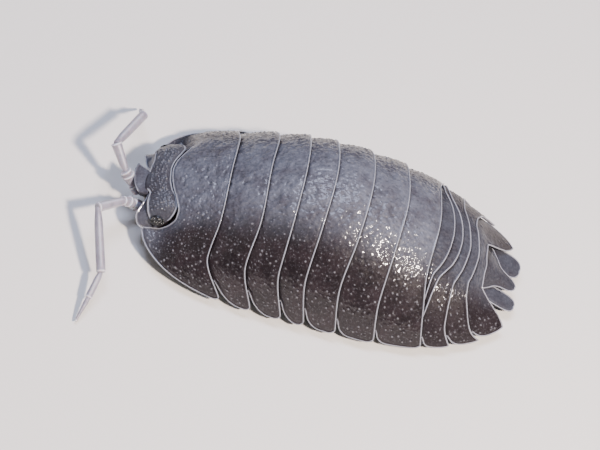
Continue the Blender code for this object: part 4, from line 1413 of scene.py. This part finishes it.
@dataclass
class Tail:
    """The three-cornered tail plate, a little askew, and the flat oval plate on each side of it."""

    root: tuple[float, float, float] = (7.5, 0.23, 0.0)
    turn: float = math.radians(-9)
    roll: float = math.radians(5)
    front: float = -0.38
    shown_from: float = -0.1
    tip: float = 1.5
    tip_round: float = 0.13
    tip_cut: float = 0.97
    # Stations along the plate, each with its half width or with the height of its crown
    sides: tuple = ((-0.4, 1.22), (-0.1, 1.15), (0.1, 0.98), (0.31, 0.79), (0.57, 0.535), (0.87, 0.42),
                    (1.2, 0.35), (1.4, 0.235), (1.5, 0.2))
    crown: tuple = ((-0.4, 0.72), (0.1, 0.44), (0.6, 0.22), (1.1, 0.1), (1.5, 0.05))
    crown_power: float = 1.2
    edge: tuple[float, float] = (1.18, -0.4)
    across: float = 1.6
    lumps: tuple = ((0.2, 0.01), (0.09, 0.004))
    grains: tuple[Spots, ...] = (Spots(0.2, 0.05, 0.02, 0.33, 0.8, 0.6),
                                 Spots(0.13, 0.036, 0.01, 0.36, 0.8, 0.4))
    grain_half: float = 1.2
    grain_seed: int = 31
    lump_seed: int = 32
    grain_margins: tuple[float, float] = (0.12, 0.14)
    # Share of painted shade on the tail plate, and where the painted shade under the last tail plate ends
    flank: float = 0.4
    fold: float = -0.2
    oars: tuple = (Oar(Side.LEFT, (7.35, -0.77), (9.06, -1.0), 0.47, 0.94),
                   Oar(Side.RIGHT, (7.35, 1.22), (9.1, 0.98), 0.63, 1.02))
    oar_slope: float = 0.29
    oar_power: float = 3.2
    oar_least: float = 0.002
    oar_crown: float = 0.05
    oar_ripples: tuple = ((0.25, 0.005),)
    oar_grains: Spots = Spots(0.15, 0.038, 0.01, 0.36, 0.8, 0.35)
    oar_grain_rise: float = 0.8
    oar_margins: tuple[float, float] = (0.15, 0.75)
    oar_seeds: tuple[int, int] = (34, 33)
    # Share of painted shade on the oval plates, against the back colour's painted sheen
    oar_flank: float = 0.1
    cuticle: Cuticle = Cuticle()

    MARGIN = 0.14
    PITCH = 0.04

    def steps(self, length: float) -> Array:
        """Places over a span, closer together at its ends, from 0 to 1."""
        edge = np.array(BodyPlate.MARGIN)
        count = max(int(length / self.PITCH), 4)
        middle = np.linspace(self.MARGIN, length - self.MARGIN, count)
        return np.concatenate((edge, middle, length - edge[::-1])) / length

    def surface(self, x: Array, share: Array) -> Array:
        """Points of the tail plate's smooth top.

        Args:
            x: Stations along the plate, from its root.
            share: Places across it, from -1 at its left margin to 1 at its right one.

        Returns:
            The points in the plate's own frame.
        """
        near_tip = np.clip((x - self.tip + self.tip_round) / self.tip_round, 0, 1)
        half = SmoothLine(self.sides)(x) * np.sqrt(1 - self.tip_cut * near_tip ** 2)
        crown = SmoothLine(self.crown)(x) * (1 - share * share) ** self.crown_power
        z = self.edge[0] + self.edge[1] * x + crown
        return np.stack((np.broadcast_to(x, z.shape), half * share, z), axis=-1)

    def placed(self, points: Array) -> Array:
        """Points of the tail plate's own frame, rolled, turned and brought to its root."""
        x, y, z = np.moveaxis(points, -1, 0)
        c, s = math.cos(self.roll), math.sin(self.roll)
        rolled = np.stack((x, c * y - s * z, s * y + c * z), axis=-1)
        return turned_level(rolled, self.turn) + self.root

    def build_telson(self, shop: Workshop) -> bpy.types.Object:
        """Makes the tail plate."""
        span = self.tip - self.front
        x = self.front + span * self.steps(span)
        share = 2 * self.steps(self.across) - 1
        grid = self.placed(self.surface(x[:, None], share[None, :]))
        shown = x > self.shown_from
        beads = [grid[shown, 0], grid[shown, -1], grid[-1]]
        rng = np.random.default_rng(self.grain_seed)
        behind, beside = self.grain_margins
        spots = []
        for kind in self.grains:
            along, across = kind.lattice(rng, span, self.grain_half)
            px = self.tip - behind - along
            half = SmoothLine(self.sides)(px)
            kept = (np.abs(across) < half - beside) & (px > self.front)
            spots.append(kind.varied(rng, self.placed(self.surface(px[kept], across[kept] / half[kept]))))
        lumps = Grain(self.lump_seed).waves(grid, self.lumps)
        lift, marks = self.cuticle.relief(grid, beads, spots, lumps)
        # Painted shade: some over the whole plate, and all of it at the front under the last tail plate
        marks[Mark.FLANK] = np.full(lift.shape, self.flank)
        marks[Mark.CLEFT] = np.broadcast_to(eased(0.0, self.fold, x)[:, None], lift.shape)
        return shop.solid("tail_shield", *self.cuticle.closed(grid, lift, marks, upward_normals(grid)))

    def build_oar(self, shop: Workshop, oar: Oar) -> bpy.types.Object:
        """Makes one oval plate beside the tail plate."""
        root, tip = np.array(oar.root), np.array(oar.tip)
        length = float(np.linalg.norm(tip - root))
        along = (tip - root) / length
        across = np.array((-along[1], along[0]))
        t = self.steps(length)
        bulge = np.maximum(1 - np.abs(2 * t - 1) ** self.oar_power, self.oar_least)
        width = oar.half * bulge ** (1 / self.oar_power)
        share = 2 * self.steps(2 * oar.half) - 1
        plan = root + along * (t * length)[:, None, None]
        plan = plan + across * (width[:, None] * share[None, :])[..., None]
        z = oar.height - self.oar_slope * (plan[..., 0] - oar.root[0]) + self.oar_crown * (1 - share * share)
        grid = np.concatenate((plan, z[..., None]), axis=-1)
        grain_seed, ripple_seed = self.oar_seeds
        rng = np.random.default_rng(grain_seed)
        margin, inside = self.oar_margins
        reach, aside = self.oar_grains.lattice(rng, length - 2 * margin, oar.half * inside)
        spots = root + along * (reach[:, None] + margin) + across * aside[:, None]
        height = oar.height - self.oar_slope * (spots[:, 0] - oar.root[0])
        height = height + self.oar_grain_rise * self.oar_crown
        spots = np.concatenate((spots, height[:, None]), axis=-1)
        beads = [grid[:, 0], grid[:, -1], grid[-1], grid[0]]
        lift, marks = self.cuticle.relief(grid, beads, [self.oar_grains.varied(rng, spots)],
                                          Grain(ripple_seed).waves(grid, self.oar_ripples))
        marks[Mark.FLANK] = np.full(lift.shape, self.oar_flank)
        plate = self.cuticle.closed(grid, lift, marks, upward_normals(grid))
        return shop.solid(f"tail_oar_{oar.side.word}", *plate)

    def build(self, shop: Workshop, finish: bpy.types.Material) -> None:
        """Makes and dresses the tail plate and both oval plates."""
        shop.add(self.build_telson(shop), finish, Slot.TAIL, ["telson"])
        for oar in self.oars:
            shop.add(self.build_oar(shop, oar), finish, Slot.TAIL, [f"uropod_{oar.side.word}"])


@dataclass
class Underside:
    """The soft belly inside the shell, with a fold for each segment, and the gill flaps behind the legs."""

    ends: tuple[float, float] = (-7.75, 7.1)
    # Stations along the body, each with the share across it that the belly reaches
    reach: tuple = ((-7.75, 0.3), (-7.2, 0.5), (-6.8, 0.6), (-6, 0.74), (-5.2, 0.78), (3.5, 0.78),
                    (5.2, 0.68), (6.4, 0.5), (7.1, 0.2))
    grid: tuple[int, int] = (150, 61)
    under_back: float = 0.42
    fold: float = 0.05
    fold_length: float = 1.5
    below_roof: float = 0.02
    least: float = 0.05
    end_length: float = 0.5
    edge_power: int = 6
    flap: tuple[float, float, float] = (5.05, 0.62, 1.32)
    flap_step: tuple[float, float] = (0.45, -0.11)
    flap_radii: tuple[float, float, float] = (0.42, 0.56, 0.12)
    flap_slope: float = 0.35
    flap_pairs: int = 5
    flap_mesh: tuple[int, int] = (10, 28)

    def build_belly(self, shop: Workshop, form: BodyForm) -> bpy.types.Object:
        """Makes the belly."""
        x = np.linspace(*self.ends, self.grid[0])
        s = np.linspace(-1, 1, self.grid[1])
        share = SmoothLine(self.reach)(x)[:, None] * s[None, :]
        stations = np.broadcast_to(x[:, None], share.shape)
        grid = form.back(stations, share, self.under_back)
        folds = self.fold * np.sin(2 * np.pi * stations / self.fold_length)
        low = form.belly_height(stations, share) + folds + self.below_roof
        ends = np.clip(np.minimum(x - x[0], x[-1] - x) / self.end_length, 0, 1)
        blend = (1 - np.abs(s) ** self.edge_power)[None, :] * ends[:, None]
        under = grid.copy()
        under[..., 2] = grid[..., 2] * (1 - blend) + np.minimum(low, grid[..., 2] - self.least) * blend
        inside, faces = sheet_faces(*grid.shape[:2])
        return shop.solid("belly", np.concatenate((grid.reshape(-1, 3), under[inside])), faces)

    def build_flaps(self, shop: Workshop) -> bpy.types.Object:
        """Makes the gill flaps, each tilted down towards the tail."""
        forms = []
        for k, side in itertools.product(range(self.flap_pairs), Side):
            x, z = self.flap[0] + k * self.flap_step[0], self.flap[2] + k * self.flap_step[1]
            ball, faces = rounded((x, side.value * self.flap[1], z), self.flap_radii, *self.flap_mesh)
            ball[:, 2] -= (ball[:, 0] - x) * self.flap_slope
            forms.append((ball, faces))
        return shop.solid("gill_flaps", *joined(forms))

    def build(self, shop: Workshop, form: BodyForm, skin: bpy.types.Material) -> None:
        """Makes and dresses the belly and the gill flaps."""
        for piece in (self.build_belly(shop, form), self.build_flaps(shop)):
            shop.add(piece, skin, None)


def linear(hex_colour: str) -> tuple[float, float, float, float]:
    """An sRGB hex value as linear light with full cover."""
    parts = [int(hex_colour[k:k + 2], 16) / 255 for k in (1, 3, 5)]
    return (*(p / 12.92 if p <= 0.04045 else ((p + 0.055) / 1.055) ** 2.4 for p in parts), 1.0)


def per_metre(size_mm: float) -> float:
    """Scale of a pattern whose features are this many millimetres wide."""
    return 1 / (size_mm * MM)


def add_node(tree: bpy.types.NodeTree, kind: str, inputs: Mapping[str | int, Value] | None = None,
             **settings: str | bool | float) -> bpy.types.Node:
    """Adds a node.

    Args:
        tree: The material's node tree.
        kind: Type of the node.
        inputs: What its inputs are linked to or set to.
        settings: Its own settings.

    Returns:
        The node.
    """
    node = tree.nodes.new(kind)
    for key, value in settings.items():
        setattr(node, key, value)
    for key, value in (inputs or {}).items():
        if isinstance(value, bpy.types.NodeSocket):
            tree.links.new(value, node.inputs[key])
        else:
            node.inputs[key].default_value = value
    return node


def blank(name: str) -> tuple[bpy.types.Material, bpy.types.NodeTree, bpy.types.NodeSocket]:
    """A new material, its tree, and the place of each point on the object, the only node in the tree."""
    material = bpy.data.materials.new(name)
    material.use_nodes = True
    tree = material.node_tree
    tree.nodes.clear()
    return material, tree, add_node(tree, "ShaderNodeTexCoord").outputs["Object"]


@dataclass(frozen=True)
class ChitinCuticle:
    """Calcified chitin cuticle, grown in layers under a thin wax coat.

    The pigment lies deep, so the body is dark slate; the back colour is lighter and bluer as a painted sheen
    of the cool overhead light, and the flank colour is darker as painted shade; painted shade also darkens
    hollows and folds; thin rims and the tips of granules have no pigment and look pale; the wax breaks
    highlights into small wet sparks.
    """

    name: str
    # Back colour: a painted sheen of the cool overhead light; flank colour: painted shade
    back: str
    flank: str
    blotch: str
    rim: str
    granule: str
    # Cleft colour: random dark flecks, and painted shade in hollows, folds and under edges
    cleft: str
    roughness: tuple[float, float]
    ior: float = 1.54
    shine: float = 0.16
    coat: float = 0.5
    coat_roughness: float = 0.09
    speckled: float = 0.09
    grained: float = 0.42
    blotch_mm: float = 0.9
    speckle_mm: float = 0.11
    # Real pores are about a hundredth of a millimetre: drawn six times coarser, so that they show
    pore_mm: float = 0.06
    pore_depth_mm: float = 0.012

    def material(self) -> bpy.types.Material:
        """Builds the material."""
        material, tree, place = blank(self.name)
        marks = {mark: add_node(tree, "ShaderNodeAttribute", attribute_name=mark.value).outputs["Fac"]
                 for mark in Mark}
        blotches, speckles = (add_node(tree, "ShaderNodeTexNoise", {
            "Vector": place, "Scale": per_metre(size), "Detail": detail, "Roughness": rough}).outputs["Fac"]
            for size, detail, rough in ((self.blotch_mm, 4.0, 0.6), (self.speckle_mm, 3.0, 0.65)))
        pores = add_node(tree, "ShaderNodeTexVoronoi", {"Vector": place, "Scale": per_metre(self.pore_mm)})
        # First layer: the flank colour's painted shade over the back colour's painted sheen
        layers = ((marks[Mark.FLANK], (0.0, 1.0), (0.0, 1.0), self.flank),
                  (blotches, (0.42, 0.68), (0.0, 0.55), self.blotch),
                  (speckles, (0.52, 0.72), (0.0, self.speckled), self.granule),
                  (speckles, (0.28, 0.44), (0.5, 0.0), self.cleft),
                  (marks[Mark.GRANULE], (0.25, 0.9), (0.0, self.grained), self.granule),
                  # Painted shade in hollows, folds and under edges
                  (marks[Mark.CLEFT], (0.0, 1.0), (0.0, 0.75), self.cleft),
                  (marks[Mark.RIM], (0.1, 0.8), (0.0, 1.0), self.rim))
        colour = linear(self.back)
        for value, (low, high), (least, most), tint in layers:
            share = add_node(tree, "ShaderNodeMapRange", {
                "Value": value, "From Min": low, "From Max": high, "To Min": least, "To Max": most})
            layer = add_node(tree, "ShaderNodeMix", {
                MIX_SHARE: share.outputs["Result"], MIX_A: colour, MIX_B: linear(tint)}, data_type="RGBA")
            colour = layer.outputs[MIX_RESULT]
        gloss = add_node(tree, "ShaderNodeMapRange", {
            "Value": blotches, "From Min": 0.35, "From Max": 0.65, "To Min": self.roughness[0],
            "To Max": self.roughness[1]})
        height = add_node(tree, "ShaderNodeMapRange", {"Value": pores.outputs["Distance"], "From Max": 0.5})
        bump = add_node(tree, "ShaderNodeBump", {
            "Height": height.outputs["Result"], "Strength": 0.5, "Distance": self.pore_depth_mm * MM})
        shader = add_node(tree, "ShaderNodeBsdfPrincipled", {
            "Base Color": colour, "Roughness": gloss.outputs["Result"], "IOR": self.ior, "Metallic": 0.0,
            "Specular IOR Level": self.shine, "Coat Weight": self.coat,
            "Coat Roughness": self.coat_roughness, "Normal": bump.outputs["Normal"]})
        add_node(tree, "ShaderNodeOutputMaterial", {"Surface": shader.outputs["BSDF"]})
        return material


@dataclass(frozen=True)
class LimbChitin:
    """Thin, lightly pigmented chitin of feelers and legs, moulted smooth.

    Light enters it a little, so it looks lilac-grey and soft, with paler collars and edges.
    """

    name: str
    body: str
    stain: str
    rim: str
    roughness: tuple[float, float] = (0.34, 0.5)
    ior: float = 1.54
    glow: float = 0.12
    glow_mm: float = 0.12
    sheen: float = 0.35
    sheen_roughness: float = 0.35
    stain_mm: float = 0.35
    # Real bristle pits are finer than a pixel: drawn at 0.05 mm, so that they show
    pit_mm: float = 0.05
    pit_depth_mm: float = 0.008

    def material(self) -> bpy.types.Material:
        """Builds the material."""
        material, tree, place = blank(self.name)
        stains = add_node(tree, "ShaderNodeTexNoise", {
            "Vector": place, "Scale": per_metre(self.stain_mm), "Detail": 4.0, "Roughness": 0.6})
        pits = add_node(tree, "ShaderNodeTexNoise", {
            "Vector": place, "Scale": per_metre(self.pit_mm), "Detail": 2.0})
        rim = add_node(tree, "ShaderNodeAttribute", attribute_name=Mark.RIM.value)
        stained = add_node(tree, "ShaderNodeMapRange", {
            "Value": stains.outputs["Fac"], "From Min": 0.4, "From Max": 0.7})
        body = add_node(tree, "ShaderNodeMix", {
            MIX_SHARE: stained.outputs["Result"], MIX_A: linear(self.body), MIX_B: linear(self.stain)},
            data_type="RGBA")
        colour = add_node(tree, "ShaderNodeMix", {
            MIX_SHARE: rim.outputs["Fac"], MIX_A: body.outputs[MIX_RESULT], MIX_B: linear(self.rim)},
            data_type="RGBA")
        gloss = add_node(tree, "ShaderNodeMapRange", {
            "Value": stains.outputs["Fac"], "To Min": self.roughness[0], "To Max": self.roughness[1]})
        bump = add_node(tree, "ShaderNodeBump", {
            "Height": pits.outputs["Fac"], "Strength": 0.4, "Distance": self.pit_depth_mm * MM})
        shader = add_node(tree, "ShaderNodeBsdfPrincipled", {
            "Base Color": colour.outputs[MIX_RESULT], "Roughness": gloss.outputs["Result"], "IOR": self.ior,
            "Subsurface Weight": self.glow, "Subsurface Scale": self.glow_mm * MM,
            "Sheen Weight": self.sheen, "Sheen Roughness": self.sheen_roughness,
            "Normal": bump.outputs["Normal"]})
        add_node(tree, "ShaderNodeOutputMaterial", {"Surface": shader.outputs["BSDF"]})
        return material


@dataclass(frozen=True)
class LensChitin:
    """Clear chitin of the simple eyes over black pigment: wet black beads with a sharp glint."""

    name: str = "black_lens_chitin"
    body: str = "#08080a"
    bloom: str = "#1d2026"
    ior: float = 1.54
    roughness: tuple[float, float] = (0.12, 0.4)
    coat: float = 0.5
    coat_roughness: float = 0.08
    bloom_mm: float = 0.12

    def material(self) -> bpy.types.Material:
        """Builds the material."""
        material, tree, place = blank(self.name)
        dust = add_node(tree, "ShaderNodeTexNoise", {
            "Vector": place, "Scale": per_metre(self.bloom_mm), "Detail": 3.0})
        share = add_node(tree, "ShaderNodeMapRange", {
            "Value": dust.outputs["Fac"], "From Min": 0.45, "From Max": 0.75})
        colour = add_node(tree, "ShaderNodeMix", {
            MIX_SHARE: share.outputs["Result"], MIX_A: linear(self.body), MIX_B: linear(self.bloom)},
            data_type="RGBA")
        gloss = add_node(tree, "ShaderNodeMapRange", {
            "Value": dust.outputs["Fac"], "To Min": self.roughness[0], "To Max": self.roughness[1]})
        shader = add_node(tree, "ShaderNodeBsdfPrincipled", {
            "Base Color": colour.outputs[MIX_RESULT], "Roughness": gloss.outputs["Result"], "IOR": self.ior,
            "Coat Weight": self.coat, "Coat Roughness": self.coat_roughness})
        add_node(tree, "ShaderNodeOutputMaterial", {"Surface": shader.outputs["BSDF"]})
        return material


@dataclass(frozen=True)
class JointSkin:
    """Soft, unhardened joint skin of the belly: pale, damp and finely creased."""

    name: str = "soft_joint_skin"
    body: str = "#4a3f3c"
    # Painted shade in the hollows of the creases
    crease: str = "#2c201e"
    ior: float = 1.45
    roughness: float = 0.55
    crease_mm: float = 0.25
    crease_depth_mm: float = 0.03

    def material(self) -> bpy.types.Material:
        """Builds the material."""
        material, tree, place = blank(self.name)
        creases = add_node(tree, "ShaderNodeTexNoise", {
            "Vector": place, "Scale": per_metre(self.crease_mm), "Detail": 5.0, "Roughness": 0.6,
            "Distortion": 0.4})
        share = add_node(tree, "ShaderNodeMapRange", {
            "Value": creases.outputs["Fac"], "From Min": 0.35, "From Max": 0.65})
        # Painted shade: the crease colour darkens the low places of the bump
        colour = add_node(tree, "ShaderNodeMix", {
            MIX_SHARE: share.outputs["Result"], MIX_A: linear(self.crease), MIX_B: linear(self.body)},
            data_type="RGBA")
        bump = add_node(tree, "ShaderNodeBump", {
            "Height": creases.outputs["Fac"], "Strength": 0.6, "Distance": self.crease_depth_mm * MM})
        shader = add_node(tree, "ShaderNodeBsdfPrincipled", {
            "Base Color": colour.outputs[MIX_RESULT], "Roughness": self.roughness, "IOR": self.ior,
            "Normal": bump.outputs["Normal"]})
        add_node(tree, "ShaderNodeOutputMaterial", {"Surface": shader.outputs["BSDF"]})
        return material


@dataclass(frozen=True)
class MattBoard:
    """Matt pale board, pressed and unglazed: an even studio floor with the faintest tooth."""

    name: str = "matt_board"
    body: str = "#e2dfdb"
    shade: str = "#dbd8d4"
    cloud_mm: float = 60.0
    roughness: float = 0.85

    def material(self) -> bpy.types.Material:
        """Builds the material."""
        material, tree, place = blank(self.name)
        clouds = add_node(tree, "ShaderNodeTexNoise", {"Vector": place, "Scale": per_metre(self.cloud_mm)})
        colour = add_node(tree, "ShaderNodeMix", {
            MIX_SHARE: clouds.outputs["Fac"], MIX_A: linear(self.body), MIX_B: linear(self.shade)},
            data_type="RGBA")
        shader = add_node(tree, "ShaderNodeBsdfPrincipled", {
            "Base Color": colour.outputs[MIX_RESULT], "Roughness": self.roughness})
        add_node(tree, "ShaderNodeOutputMaterial", {"Surface": shader.outputs["BSDF"]})
        return material


def placement(axes: Sequence[Array], spot: Array) -> Matrix:
    """Matrix that lays an object's own axes along these ones, at a spot."""
    turn = np.stack(axes, axis=1)
    return Matrix([(*turn[k], spot[k]) for k in range(3)] + [(0, 0, 0, 1)])


@dataclass(frozen=True)
class Softbox:
    """A rectangular lamp that looks at the middle of the model.

    Its place is a direction as seen from the model with a distance in millimetres, its size is in
    millimetres too, and its power in watts.
    """

    name: str
    direction: tuple[float, float, float]
    distance: float
    size: tuple[float, float]
    power: float
    colour: str

    def build(self) -> None:
        """Adds the lamp."""
        data = bpy.data.lights.new(self.name, "AREA")
        data.shape = "RECTANGLE"
        data.size, data.size_y = self.size[0] * MM, self.size[1] * MM
        data.energy = self.power
        data.color = linear(self.colour)[:3]
        lamp = bpy.data.objects.new(self.name, data)
        away = unit(np.array(self.direction))
        side = unit(np.cross((0.0, 1.0, 0.0), away))
        lamp.matrix_world = placement((side, np.cross(away, side), away), away * self.distance * MM)
        bpy.context.scene.collection.objects.link(lamp)


@dataclass
class Studio:
    """Camera at the photo's angle, a warm key light, a large cool light overhead and a pale floor."""

    azimuth: float = math.radians(-6)
    elevation: float = math.radians(53)
    roll: float = math.radians(19.3)
    # The camera was fitted to a body smaller by this scale, at so many photo pixels for a millimetre
    scale: float = 1.0676
    pixels: float = 23.78
    photo_width: int = 600
    sensor: float = 36.0
    target: tuple[float, float, float] = (-1.33, 0.0, 2.0)
    # Photo pixels from the picture's middle to the target
    off_centre: tuple[float, float] = (2.4, 13.7)
    floor: float = 600.0
    camera_distance: float = 90.0
    lamps: tuple[Softbox, ...] = (
        Softbox("warm_key", (0.45, -0.45, 0.77), 120, (10, 10), 0.37, "#ffeee2"),
        Softbox("cool_overhead", (-0.15, 0.22, 0.96), 170, (100, 60), 0.3, "#d3deff"),
        Softbox("soft_fill", (-0.7, -0.5, 0.5), 220, (160, 160), 0.04, "#fff8f0"))
    air: str = "#e4e6ea"
    air_strength: float = 0.22

    def build_camera(self, frame: Frame) -> None:
        """Sets the camera where the photo was taken from."""
        a, e, r = self.azimuth, self.elevation, self.roll
        back = np.array((math.sin(a) * math.cos(e), -math.cos(a) * math.cos(e), math.sin(e)))
        right = np.array((math.cos(a), math.sin(a), 0.0))
        up = np.cross(back, right)
        rolled = right * math.cos(r) + up * math.sin(r)
        upward = up * math.cos(r) - right * math.sin(r)
        distance = self.camera_distance * self.scale
        per_mm = self.pixels / self.scale
        aside = (rolled * self.off_centre[0] + upward * self.off_centre[1]) / per_mm
        spot = frame.place(np.array(self.target) * self.scale - aside + back * distance)
        data = bpy.data.cameras.new("camera")
        data.sensor_width = self.sensor
        data.lens = self.sensor * per_mm * distance / self.photo_width
        data.clip_start = MM
        camera = bpy.data.objects.new("camera", data)
        camera.matrix_world = placement((rolled, upward, back), spot)
        bpy.context.scene.collection.objects.link(camera)
        bpy.context.scene.camera = camera

    def build_air(self) -> None:
        """Sets the even light that comes from all round."""
        world = bpy.data.worlds.new("studio_air")
        world.use_nodes = True
        inputs = world.node_tree.nodes["Background"].inputs
        inputs["Color"].default_value = linear(self.air)
        inputs["Strength"].default_value = self.air_strength
        bpy.context.scene.world = world

    def build_floor(self) -> None:
        """Makes the floor, which isn't part of the model."""
        half = self.floor * MM / 2
        corners = [(-half, -half, 0), (half, -half, 0), (half, half, 0), (-half, half, 0)]
        mesh = bpy.data.meshes.new("floor")
        mesh.from_pydata(corners, [], [(0, 1, 2, 3)])
        floor = bpy.data.objects.new("floor", mesh)
        floor.data.materials.append(MattBoard().material())
        bpy.context.scene.collection.objects.link(floor)

    def build(self, frame: Frame) -> None:
        """Sets up the camera, the lights, the air and the floor."""
        self.build_camera(frame)
        for lamp in self.lamps:
            lamp.build()
        self.build_air()
        self.build_floor()


# Back colours hold a painted sheen of the cool overhead light, flank colours painted shade, cleft colours
# dark flecks and painted shade
SLATE = ChitinCuticle("slate_chitin_cuticle", back="#5b5e6a", flank="#130b10", blotch="#271c22",
                      rim="#8b8d97", granule="#9a9ba4", cleft="#0d0c0f", roughness=(0.42, 0.56))
TAIL_SLATE = ChitinCuticle("tail_chitin_cuticle", back="#3f414a", flank="#150d12", blotch="#231b21",
                           rim="#8f909a", granule="#90919a", cleft="#0f0e11", roughness=(0.44, 0.56),
                           coat=0.2)
FEELER = LimbChitin("feeler_chitin", body="#8d8996", stain="#77727f", rim="#cdccd6")
LEG = LimbChitin("leg_chitin", body="#7d7878", stain="#645e60", rim="#b5b1b3")


def main() -> None:
    """Builds and dresses the whole woodlouse."""
    logging.basicConfig(level=logging.INFO, format="%(message)s")
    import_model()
    form, head = BodyForm(), Head()
    shop = Workshop(Frame(head.turned(np.array((head.eye[0], 0.0, 0.0)))))
    slate, tail, skin = SLATE.material(), TAIL_SLATE.material(), JointSkin().material()
    limbs = LEG.material()
    Shell().build(shop, form, slate, tail)
    head.build(shop, form, slate, limbs, LensChitin().material())
    Feelers().build(shop, FEELER.material())
    Legs().build(shop, form, limbs)
    Tail().build(shop, tail)
    Underside().build(shop, form, skin)
    Studio().build(shop.frame)


if __name__ == "__main__":
    main()
